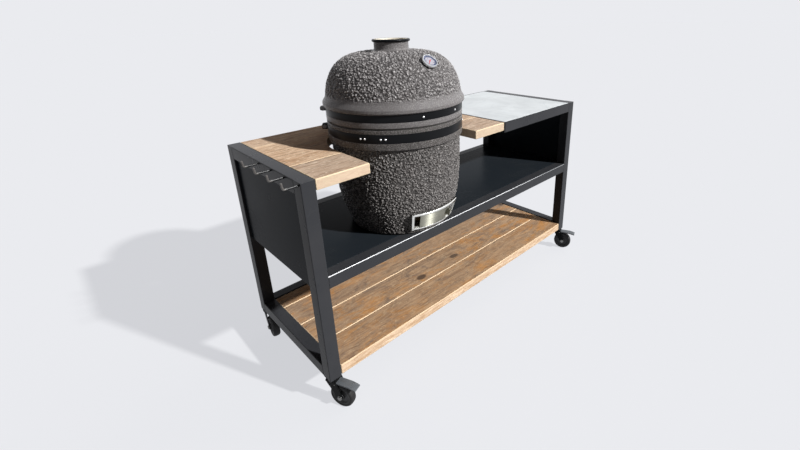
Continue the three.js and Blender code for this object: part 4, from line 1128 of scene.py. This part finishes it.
# A closed profile turned into a shell; rows marked as pebbled are pushed in along their normals
def shell_grid(profile, pebbled, plain):
    columns = SHELL_COLUMNS
    angles = np.radians(np.arange(columns) * 360 / columns)
    ring = np.stack([np.sin(angles), -np.cos(angles)], axis=1)
    flat = profile[:, None, 0, None] * ring[None]
    tall = np.broadcast_to(profile[:, None, 1, None], flat.shape[:2] + (1,))
    places = np.concatenate([flat, tall], axis=2)
    along = np.gradient(profile, axis=0)
    across = np.stack([along[:, 1], -along[:, 0]], axis=1)
    across /= np.linalg.norm(across, axis=1)[:, None] + 1e-9
    rows = np.nonzero(pebbled > 0)[0]
    raised = pebble_height(places[rows].reshape(-1, 3)).reshape(len(rows), columns)
    depth = ((raised - 1) * PEBBLE_DEPTH + PEBBLE_LIFT) * pebbled[rows, None]
    places[rows, :, :2] += (depth * across[rows, 0, None])[..., None] * ring[None]
    places[rows, :, 2] += depth * across[rows, 1, None]
    relief = np.full(places.shape[:2], plain)
    relief[rows] += (raised - plain) * pebbled[rows, None]
    return places, relief


def grid_faces(rows, columns):
    i, j = np.meshgrid(np.arange(rows - 1), np.arange(columns), indexing="ij")
    following = (j + 1) % columns
    here, above = i * columns, (i + 1) * columns
    return np.stack([here + j, here + following, above + following, above + j], axis=2)


def cone_point(height, offset):
    rise, run = CONE_HEIGHT - FOOT_HEIGHT, CONE_RADIUS - FOOT_RADIUS
    slope = math.hypot(rise, run)
    radius = FOOT_RADIUS + (height - FOOT_HEIGHT) / rise * run
    return (radius + offset * rise / slope, height - offset * run / slope)


def faded(heights, low, high):
    up = np.clip((heights - low) / PEBBLE_FADE, 0, 1)
    down = np.clip((high - heights) / PEBBLE_FADE, 0, 1)
    return np.minimum(up, down) ** 0.7


# A profile as one array, its parts' point counts added up before it
def profile_of(parts):
    ends = np.cumsum([len(part) for part in parts]).tolist()
    return np.concatenate([np.array(part) for part in parts]), ends


def shell_piece(name, places, faces, kinds, relief, materials):
    points = places.reshape(-1, 3)
    look = name + "_look"
    piece = mesh_piece(look, points, faces, materials, kinds=kinds, relief=relief.reshape(-1))
    smooth(piece, SHELL_ANGLE)
    stand_for(piece, name)


# The base: pebbled outside with the draft mouth left out of the grid and walled in
def build_base():
    left, right, low, high = VENT_MOUTH
    foot = [(radius, 0) for radius in FOOT_RINGS]
    foot += round_outline(FOOT_RADIUS - FOOT_CORNER, FOOT_CORNER, FOOT_CORNER, FOOT_STEPS, *FOOT_ARC)
    lower = body_points(FOOT_HEIGHT, low)
    mouth = body_points(low, high)
    upper = body_points(high, FLANGE_LOW)
    inner = BODY_RADIUS - WALL
    rim = [
        (BODY_RADIUS + FLANGE_LEAD[0], FLANGE_LOW - FLANGE_LEAD[1]), (RIM_RADIUS, FLANGE_LOW),
        (RIM_RADIUS, LOWER_RECESS[0]), (RECESS_RADIUS, LOWER_RECESS[0]),
        (RECESS_RADIUS, LOWER_RECESS[1]), (RIM_RADIUS, LOWER_RECESS[1]),
        (RIM_RADIUS, BASE_TOP), (inner, BASE_TOP), (inner, BASE_TOP - RIM_TURN),
    ]
    rim = filleted(rim, RIM_FILLET, RIM_STEPS)[RIM_STEPS + 1:-RIM_STEPS - 1]
    inner_top = [(body_radius(height) - WALL, height) for height in INNER_HEIGHTS]
    inner_mouth = [(cone_point(height, 0)[0] - WALL, height + MOUTH_RISE) for height in mouth[::-1, 1]]
    corner = body_radius(INNER_CORNER[0]) - WALL - INNER_CORNER[1]
    inner_low = [(body_radius(INNER_FOOT) - WALL, INNER_FOOT)]
    inner_low += [(radius, FLOOR_THICKNESS) for radius in (corner, INNER_RING, 0)]
    parts = [foot, lower, mouth[1:], upper[1:], rim, inner_top, inner_mouth, inner_low]
    profile, ends = profile_of(parts)
    outer_end, rim_end, inner_first, inner_end = ends[3:7]
    pebbled = np.zeros(len(profile))
    pebbled[:outer_end] = faded(profile[:outer_end, 1], PEBBLE_FOOT, FLANGE_LOW + PEBBLE_MARGIN)
    places, relief = shell_grid(profile, pebbled, RIM_RELIEF)
    rows, columns = places.shape[:2]
    faces = grid_faces(rows, columns)
    kinds = np.zeros(faces.shape[:2], int)
    kinds[rim_end - RIM_BARE_POINTS:] = 1
    first, last = ends[1] - 1, ends[2] - 1
    inner_last = inner_end - 1
    start, end = (round(angle * columns / 360) % columns for angle in (left, right))
    kept = np.ones(faces.shape[:2], bool)
    kept[first:last, start:end] = False
    kept[inner_first:inner_last, start:end] = False
    walls = []

    def wall(*corners):
        walls.append([row * columns + column for row, column in corners])

    for j in range(start, end):
        wall((first, j), (first, j + 1), (inner_last, j + 1), (inner_last, j))
        wall((last, j), (last, j + 1), (inner_first, j + 1), (inner_first, j))
    for k in range(last - first):
        for j in (start, end):
            wall((first + k, j), (first + k + 1, j), (inner_last - k - 1, j), (inner_last - k, j))
    all_faces = faces[kept].tolist() + walls
    all_kinds = kinds[kept].tolist() + [0] * len(walls)
    shell_piece("kamado_base", places, all_faces, all_kinds, relief, ["base_glaze", "bare_and_glint"])


# The lid: smooth rings and skirt, pebbled dome, plain neck and collar, bare clay inside
def build_lid():
    dome_top = DOME_LOW + DOME_RISE
    inner = BODY_RADIUS - WALL
    foot = [
        (inner, LID_LOW + RIM_TURN), (inner, LID_LOW), (RIM_RADIUS, LID_LOW),
        (RIM_RADIUS, UPPER_RECESS[0]), (RECESS_RADIUS, UPPER_RECESS[0]),
        (RECESS_RADIUS, UPPER_RECESS[1]), (RIM_RADIUS, UPPER_RECESS[1]),
        (SKIRT_RADIUS, SKIRT[0]), (SKIRT_RADIUS, SKIRT[1]),
    ]
    foot += [(DOME_RADIUS + out, DOME_LOW + up) for out, up in SHOULDER]
    foot = filleted(foot, RIM_FILLET, RIM_STEPS)[RIM_STEPS + 1:-SHOULDER_CUT]
    dome = even_points(lambda share: dome_point(share, DOME_TOP_SHARE, 0))
    dome = dome[dome[:, 0] > NECK_RADIUS + NECK_MARGIN]
    bridge = line_points(dome[-1], (NECK_RADIUS + NECK_FOOT[0], dome_top + NECK_FOOT[1]))[1:]
    neck = [(NECK_RADIUS + out, dome_top + up) for out, up in NECK_FLARE]
    neck += [(NECK_RADIUS + out, NECK_TOP + up) for out, up in NECK_END]
    half = COLLAR_HEIGHT / 2
    lip = round_outline(COLLAR_RADIUS - half, NECK_TOP + half, half, COLLAR_STEPS, -90, 90)
    top = NECK_TOP + COLLAR_HEIGHT
    flue = [
        (COLLAR_RADIUS - COLLAR_FLAT, top - COLLAR_DROP), (FLUE_RADIUS + FLUE_EDGE[0], top - COLLAR_DROP),
        (FLUE_RADIUS, top - FLUE_EDGE[1]), (FLUE_RADIUS, dome_top - WALL + FLUE_FOOT),
    ]
    inside = [dome_point(share, INNER_TOP_SHARE, WALL) for share in np.linspace(1, 0, INNER_STEPS)]
    profile, ends = profile_of([foot, dome, bridge, neck, lip, flue, inside, [(inner, LID_LOW + RIM_TURN)]])
    foot_end, dome_end, neck_end, lip_end = ends[0], ends[2], ends[3], ends[4]
    pebbled = np.zeros(len(profile))
    heights = np.arange(dome_end - foot_end) * ROW_PITCH
    pebbled[foot_end:dome_end] = faded(heights, PEBBLE_START, heights[-1] - PEBBLE_MARGIN)
    places, relief = shell_grid(profile, pebbled, SKIRT_RELIEF)
    faces = grid_faces(*places.shape[:2])
    kinds = np.zeros(faces.shape[:2], int)
    kinds[lip_end:] = 1
    kinds[:RIM_BARE_POINTS] = 1
    kinds[neck_end:lip_end - 1] = 2
    faces, kinds = faces.reshape(-1, 4).tolist(), kinds.reshape(-1).tolist()
    shell_piece("kamado_lid", places, faces, kinds, relief, ["lid_glaze", "bare_and_glint", "band"])


# Bands with domed studs and clamps
def stud(angle, height):
    aim = turned("Z", angle) @ Matrix.Translation((0, -RIM_RADIUS, height)) @ turned("X", 90)
    return moved(lathe(STUD_PROFILE, 20, False), aim)


def clamp(angle, low, high):
    root, tip = CLAMP_SINK - RIM_RADIUS, -RIM_RADIUS - CLAMP_REACH
    outline = [(root, low), (tip, low + CLAMP_TAPER), (tip, high - CLAMP_TAPER), (root, high)]
    outline = filleted(outline, CLAMP_FILLET)
    half = CLAMP_EAR / 2
    ears = [prism("x", outline, x - half, x + half) for x in (-CLAMP_SPREAD, CLAMP_SPREAD)]
    return moved(joined(*ears), turned("Z", angle))


def clamp_bolt(angle, middle):
    centre = -RIM_RADIUS - CLAMP_REACH / 2
    reach = CLAMP_SPREAD + CLAMP_EAR + CLAMP_BOLT
    head = CLAMP_SPREAD + CLAMP_EAR / 2
    hexagon = round_outline(centre, middle, CLAMP_HEAD, 6, 30, 390)
    shapes = [
        bar_x(-reach, reach, centre, middle, CLAMP_BOLT),
        prism("x", hexagon, head, head + CLAMP_NUT),
        prism("x", hexagon, -head - CLAMP_NUT, -head),
    ]
    return moved(joined(*shapes), turned("Z", angle))


def build_band(name, span, studs):
    low, high = span
    middle = (low + high) / 2
    hoop = filleted(rectangle(BAND_INNER, RIM_RADIUS, low, high), BAND_FILLET)
    show(name, name, "band", [lathe(hoop, 240)])
    ears = [clamp(angle, low + CLAMP_INSET, high - CLAMP_INSET) for angle in CLAMP_ANGLES]
    show(name + "_clamps", name, "band", ears, CLAMP_BEVEL)
    bolts = [clamp_bolt(angle, middle) for angle in CLAMP_ANGLES]
    show(name + "_bolts", name, "black_bolt", bolts, BOLT_BEVEL)
    show(name + "_studs", name, "bolt", [stud(angle, middle) for angle in studs])


def build_gasket():
    profile = filleted(rectangle(*GASKET), GASKET_FILLET)
    show("rim_gasket", "rim_gasket", "felt", [lathe(profile, 360)])


# Fire parts
def build_fire_parts():
    dressed("firebox", "fireclay", CLAY_BEVEL)
    low, high = ((value.z - GRILL.z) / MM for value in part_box("fire_ring"))
    ring = filleted(rectangle(*FIRE_RING, low, high), FIRE_RING_FILLET)
    show("fire_ring", "fire_ring", "fireclay", [lathe(ring, 120)])
    dressed("charcoal_grate", "iron", IRON_BEVEL)
    bottom = (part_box("cooking_grate")[0].z - GRILL.z) / MM
    rim = filleted(rectangle(*GRID_RIM, bottom, bottom + GRID_RIM_HEIGHT), GRID_FILLET, 4)
    shapes = [lathe(rim, 144)]
    for i in range(-GRID_SIDE_RODS, GRID_SIDE_RODS + 1):
        x = i * GRID_PITCH
        half = math.sqrt(GRID_REACH**2 - x**2)
        shapes.append(bar_y(-half, half, x, bottom + GRID_ROD_LIFT, GRID_ROD_RADIUS, 12))
    cross = bottom + GRID_CROSS_LIFT
    shapes.append(bar_x(-GRID_REACH, GRID_REACH, 0, cross, GRID_CROSS_RADIUS, 12))
    show("cooking_grate", "cooking_grate", "iron", shapes)


# Hinge behind the grill: a bracket is a plate on its band and two ears with round eyes
def bracket(name, span, ear, above):
    low, high = span
    inner, half_angle, arc = ear
    near = RIM_RADIUS + BRACKET_GAP
    plate = filleted(rectangle(near, near + BRACKET_THICKNESS, low, high), BRACKET_FILLET)
    outer = inner + EAR_THICKNESS
    root = math.sqrt((RIM_RADIUS + EAR_SINK) ** 2 - outer**2)
    neck = PIN_Y - EAR_NECK
    eye = round_outline(PIN_Y, PIN_Z, EYE_RADIUS, EYE_STEPS, *arc)
    outline = [(root, high), (root, low)]
    outline += eye + [(neck, high)] if above else [(neck, low)] + eye
    shapes = [arc_sweep(plate, 180 - half_angle, 180 + half_angle)]
    shapes += [prism("x", outline, side, side + EAR_THICKNESS) for side in (-outer, inner)]
    show(name, name, "band", shapes, CLAMP_BEVEL)


def build_hinge():
    bracket("hinge_base_bracket", LOWER_BAND, BASE_EAR, False)
    pin = [bar_x(-PIN_REACH, PIN_REACH, PIN_Y, PIN_Z, PIN_RADIUS)]
    for side in (-1, 1):
        ends = (side * PIN_HEAD_FROM, side * PIN_REACH)
        pin.append(bar_x(*ends, PIN_Y, PIN_Z, PIN_HEAD_RADIUS, 6))
    show("hinge_pin", "hinge_base_bracket", "bolt", pin, CLAMP_BEVEL)
    bracket("hinge_lid_bracket", UPPER_BAND, LID_EAR, True)
    steps = SPRING_TURNS * SPRING_STEPS
    path = []
    for i in range(steps + 1):
        angle = 2 * math.pi * i / SPRING_STEPS
        x = -SPRING_HALF + 2 * SPRING_HALF * i / steps
        path.append((x, PIN_Y + SPRING_RADIUS * math.cos(angle), PIN_Z + SPRING_RADIUS * math.sin(angle)))
    coil = rod(path, [SPRING_WIRE] * len(path), SPRING_SIDES)
    show("hinge_spring", "hinge_spring", "spring", [coil])


# Draft vent: a channel frame, a sliding door with its tab, and screws
def vent_strip(low, high, near, far):
    return [cone_point(low, near), cone_point(low, far), cone_point(high, far), cone_point(high, near)]


def rail_outline(outer, inner, sign):
    back, front = VENT_PLATE
    outline = [cone_point(outer, back)]
    for angle in np.radians(BEAD_ANGLES):
        along = outer + sign * BEAD_RADIUS * (1 - math.cos(angle))
        outline.append(cone_point(along, BEAD_OUT + BEAD_RADIUS * math.sin(angle)))
    outline += [cone_point(outer + sign * along, out) for along, out in RAIL_LIP]
    return outline + [cone_point(inner, front), cone_point(inner, back)]


def vent_screw(angle, height):
    root, tall = cone_point(height, VENT_PLATE[1])
    aim = turned("Z", angle) @ Matrix.Translation((0, -root, tall))
    return moved(lathe(SCREW_PROFILE, 20, False), aim @ turned("X", SCREW_TILT))


def build_vent():
    left, right, low, high = VENT_MOUTH
    outlines = [rail_outline(VENT_LOW, low, 1), rail_outline(VENT_HIGH, high, -1)[::-1]]
    shapes = [arc_sweep(outline, -VENT_ANGLE, VENT_ANGLE) for outline in outlines]
    post = vent_strip(VENT_LOW, VENT_HIGH, *VENT_POST_DEPTH)
    for angle in (-VENT_ANGLE, VENT_ANGLE - VENT_POST):
        shapes.append(arc_sweep(post, angle, angle + VENT_POST))
    show("draft_frame", "draft_frame", "rail", shapes, RAIL_BEVEL)
    # The plates beside the door are in the darker steel, painted shade and painted reflection
    strip = vent_strip(low, high, *VENT_PLATE)
    plates = [arc_sweep(strip, *span) for span in ((-VENT_ANGLE, left), (right, VENT_ANGLE))]
    show("draft_plate", "draft_frame", "plate", plates)
    screws = [vent_screw(angle, height) for angle in SCREW_ANGLES for height in SCREW_HEIGHTS]
    show("draft_screws", "draft_frame", "rail", screws)
    first, last, foot, top = DOOR
    plate = arc_sweep(vent_strip(foot, top, *DOOR_DEPTH), first, last, DOOR_PITCH)
    middle = (foot + top) / 2
    tab = vent_strip(middle - TAB_HALF, middle + TAB_HALF, DOOR_DEPTH[0], TAB_OUT)
    shapes = [plate, arc_sweep(tab, last - TAB_ANGLE, last, TAB_PITCH)]
    show("draft_door", "draft_door", "stainless", shapes, DOOR_BEVEL)


# Thermometer on the dome, square to its surface
def gauge_aim():
    share = (GAUGE_HEIGHT - DOME_LOW) / DOME_RISE
    rise_power, radius_power = DOME_POWERS
    fall = DOME_RADIUS * radius_power * (1 - share**rise_power) ** (radius_power - 1) * rise_power
    fall *= share ** (rise_power - 1) / DOME_RISE
    tilt = math.atan2(1, fall)
    place = Matrix.Translation((0, -dome_radius(share, DOME_RADIUS), GAUGE_HEIGHT))
    return place @ Matrix.Rotation(tilt, 4, "X")


def dial_numbers(aim):
    for i in range(NUMBER_STEPS + 1):
        name = f"dial_number_{i + 1}"
        angle = math.radians(DIAL_START - i * DIAL_SWEEP / NUMBER_STEPS)
        text = bpy.data.curves.new(name, "FONT")
        text.body = str(i * NUMBER_VALUE)
        text.size = NUMBER_SIZE * MM
        text.align_x = "CENTER"
        text.align_y = "CENTER"
        text.extrude = NUMBER_THICKNESS * MM
        x, y = NUMBER_RADIUS * math.cos(angle), NUMBER_RADIUS * math.sin(angle)
        piece = placed(name, text)
        text.materials.append(MATERIALS["ink"])
        spot = aim @ Matrix.Translation((x, y, DIAL_DEPTH + NUMBER_LIFT))
        spot.translation *= MM
        piece.matrix_world = Matrix.Translation(GRILL) @ spot
        bpy.context.view_layer.update()
        stand_for(piece, "gauge_case")


# A flat ring on the dial, or a disc if its inner radius is nothing
def flat_ring(inner, outer, lifts):
    low, high = (DIAL_DEPTH + lift for lift in lifts)
    return lathe(rectangle(inner, outer, low, high), 64, inner > 0)


def build_gauge():
    aim = gauge_aim()
    show("gauge_case", "gauge_case", "chrome", [moved(lathe(CASE_PROFILE, 96, False), aim)])
    show("gauge_dial", "gauge_case", "dial", [moved(flat_ring(0, DIAL_RADIUS, FACE_LIFTS), aim)])
    show("gauge_ring", "gauge_case", "dial_ring", [moved(flat_ring(*RING_RADII, RING_LIFTS), aim)])
    ticks = []
    low, high = (DIAL_DEPTH + lift for lift in TICK_LIFTS)
    for i in range(TICK_COUNT + 1):
        inner, wide = SHORT_TICK if i % LONG_EVERY else LONG_TICK
        tick = block((inner, -wide, low), (TICK_OUTER, wide, high))
        ticks.append(moved(tick, aim @ turned("Z", DIAL_START - i * DIAL_SWEEP / TICK_COUNT)))
    show("gauge_ticks", "gauge_case", "dial", ticks)
    dial_numbers(aim)
    foot = DIAL_DEPTH + NEEDLE_LIFT
    hub = lathe([(radius, foot + height) for radius, height in NEEDLE_HUB], 32, False)
    needle = joined(prism("z", NEEDLE_PROFILE, foot, foot + NEEDLE_THICKNESS), hub)
    show("gauge_needle", "gauge_needle", "needle", [moved(needle, aim @ turned("Z", NEEDLE_REST))])


# Floor, light and camera
# Rays from the camera, mirrors and glass see the backdrop's colour; all others see the plain surface
def backdrop_share(tree):
    path = tree.nodes.new("ShaderNodeLightPath").outputs
    seen = maths(tree, "MAXIMUM", path["Is Camera Ray"], path["Is Glossy Ray"])
    return maths(tree, "MAXIMUM", seen, path["Is Transmission Ray"])


def build_floor():
    mesh = bpy.data.meshes.new("floor")
    half = FLOOR_HALF * MM
    corners = [(x, y, 0) for x, y in rectangle(-half, half, -half, half)]
    mesh.from_pydata(corners, [], [[0, 1, 2, 3]])
    floor = placed("floor", mesh)
    material, tree, shader = blank("floor_paper", {"Roughness": 1.0, "Specular IOR Level": 0.0})
    keyed = KEY_STRENGTH * math.sin(math.radians(KEY_ELEVATION)) / math.pi
    keyed += SIDE_STRENGTH * math.sin(math.radians(SIDE_ELEVATION)) / math.pi
    lit = [FLOOR_ALBEDO * (keyed + FILL_STRENGTH * tint) for tint in FILL_TINT[:3]]
    glow = [wanted - already for wanted, already in zip(colour(*BACKDROP), lit)]
    shader.inputs["Base Color"].default_value = (FLOOR_ALBEDO, FLOOR_ALBEDO, FLOOR_ALBEDO, 1.0)
    shader.inputs["Emission Color"].default_value = (*glow, 1.0)
    feed(tree, shader.inputs["Emission Strength"], backdrop_share(tree))
    mesh.materials.append(material)


def lamp(name, azimuth, elevation, strength, softness):
    light = bpy.data.lights.new(name, "SUN")
    light.energy = strength
    light.angle = math.radians(softness)
    rise = math.radians(elevation)
    source = Vector(on_circle(math.cos(rise), azimuth, math.sin(rise)))
    placed(name, light).rotation_euler = source.to_track_quat("Z", "Y").to_euler()


def build_light():
    lamp("key", KEY_AZIMUTH, KEY_ELEVATION, KEY_STRENGTH, KEY_SOFTNESS)
    lamp("side", SIDE_AZIMUTH, SIDE_ELEVATION, SIDE_STRENGTH, SIDE_SOFTNESS)
    world = bpy.data.worlds.new("fill")
    bpy.context.scene.world = world
    world.use_nodes = True
    tree = world.node_tree
    tree.nodes.clear()
    fill = node(tree, "Background", {"Color": FILL_TINT, "Strength": FILL_STRENGTH})
    shown = node(tree, "Background", {"Color": BACKDROP, "Strength": 1.0})
    picked = node(tree, "MixShader", {0: backdrop_share(tree), 1: fill, 2: shown})
    output = tree.nodes.new("ShaderNodeOutputWorld")
    tree.links.new(picked, output.inputs["Surface"])


def build_camera():
    cos_pitch, sin_pitch = math.cos(CAMERA_PITCH), math.sin(CAMERA_PITCH)
    cos_yaw, sin_yaw = math.cos(CAMERA_YAW), math.sin(CAMERA_YAW)
    ahead = Vector((-sin_yaw * cos_pitch, cos_yaw * cos_pitch, sin_pitch))
    level = Vector((cos_yaw, sin_yaw, 0))
    upright = level.cross(ahead)
    right = level * math.cos(CAMERA_ROLL) + upright * math.sin(CAMERA_ROLL)
    up = upright * math.cos(CAMERA_ROLL) - level * math.sin(CAMERA_ROLL)
    lens = bpy.data.cameras.new("camera")
    width, height = PICTURE_PIXELS
    lens.sensor_width = SENSOR_WIDTH
    lens.lens = FOCAL_PIXELS * SENSOR_WIDTH / width
    lens.shift_x = (width / 2 - PRINCIPAL_PIXELS[0]) / width
    lens.shift_y = (PRINCIPAL_PIXELS[1] - height / 2) / width
    lens.clip_end = 2 * FLOOR_HALF * MM
    camera = placed("camera", lens)
    axes = Matrix((right, up, -ahead)).transposed().to_4x4()
    axes.translation = table_corner + Vector(CAMERA_PLACE) * MM
    camera.matrix_world = axes
    bpy.context.scene.camera = camera


build_frame()
build_boards()
build_hooks()
build_casters()
build_base()
build_lid()
build_band("lower_band", LOWER_BAND, LOWER_STUDS)
build_band("upper_band", UPPER_BAND, UPPER_STUDS)
build_gasket()
build_fire_parts()
build_hinge()
build_vent()
build_gauge()
build_floor()
build_light()
build_camera()
bpy.context.scene.view_settings.view_transform = "Standard"
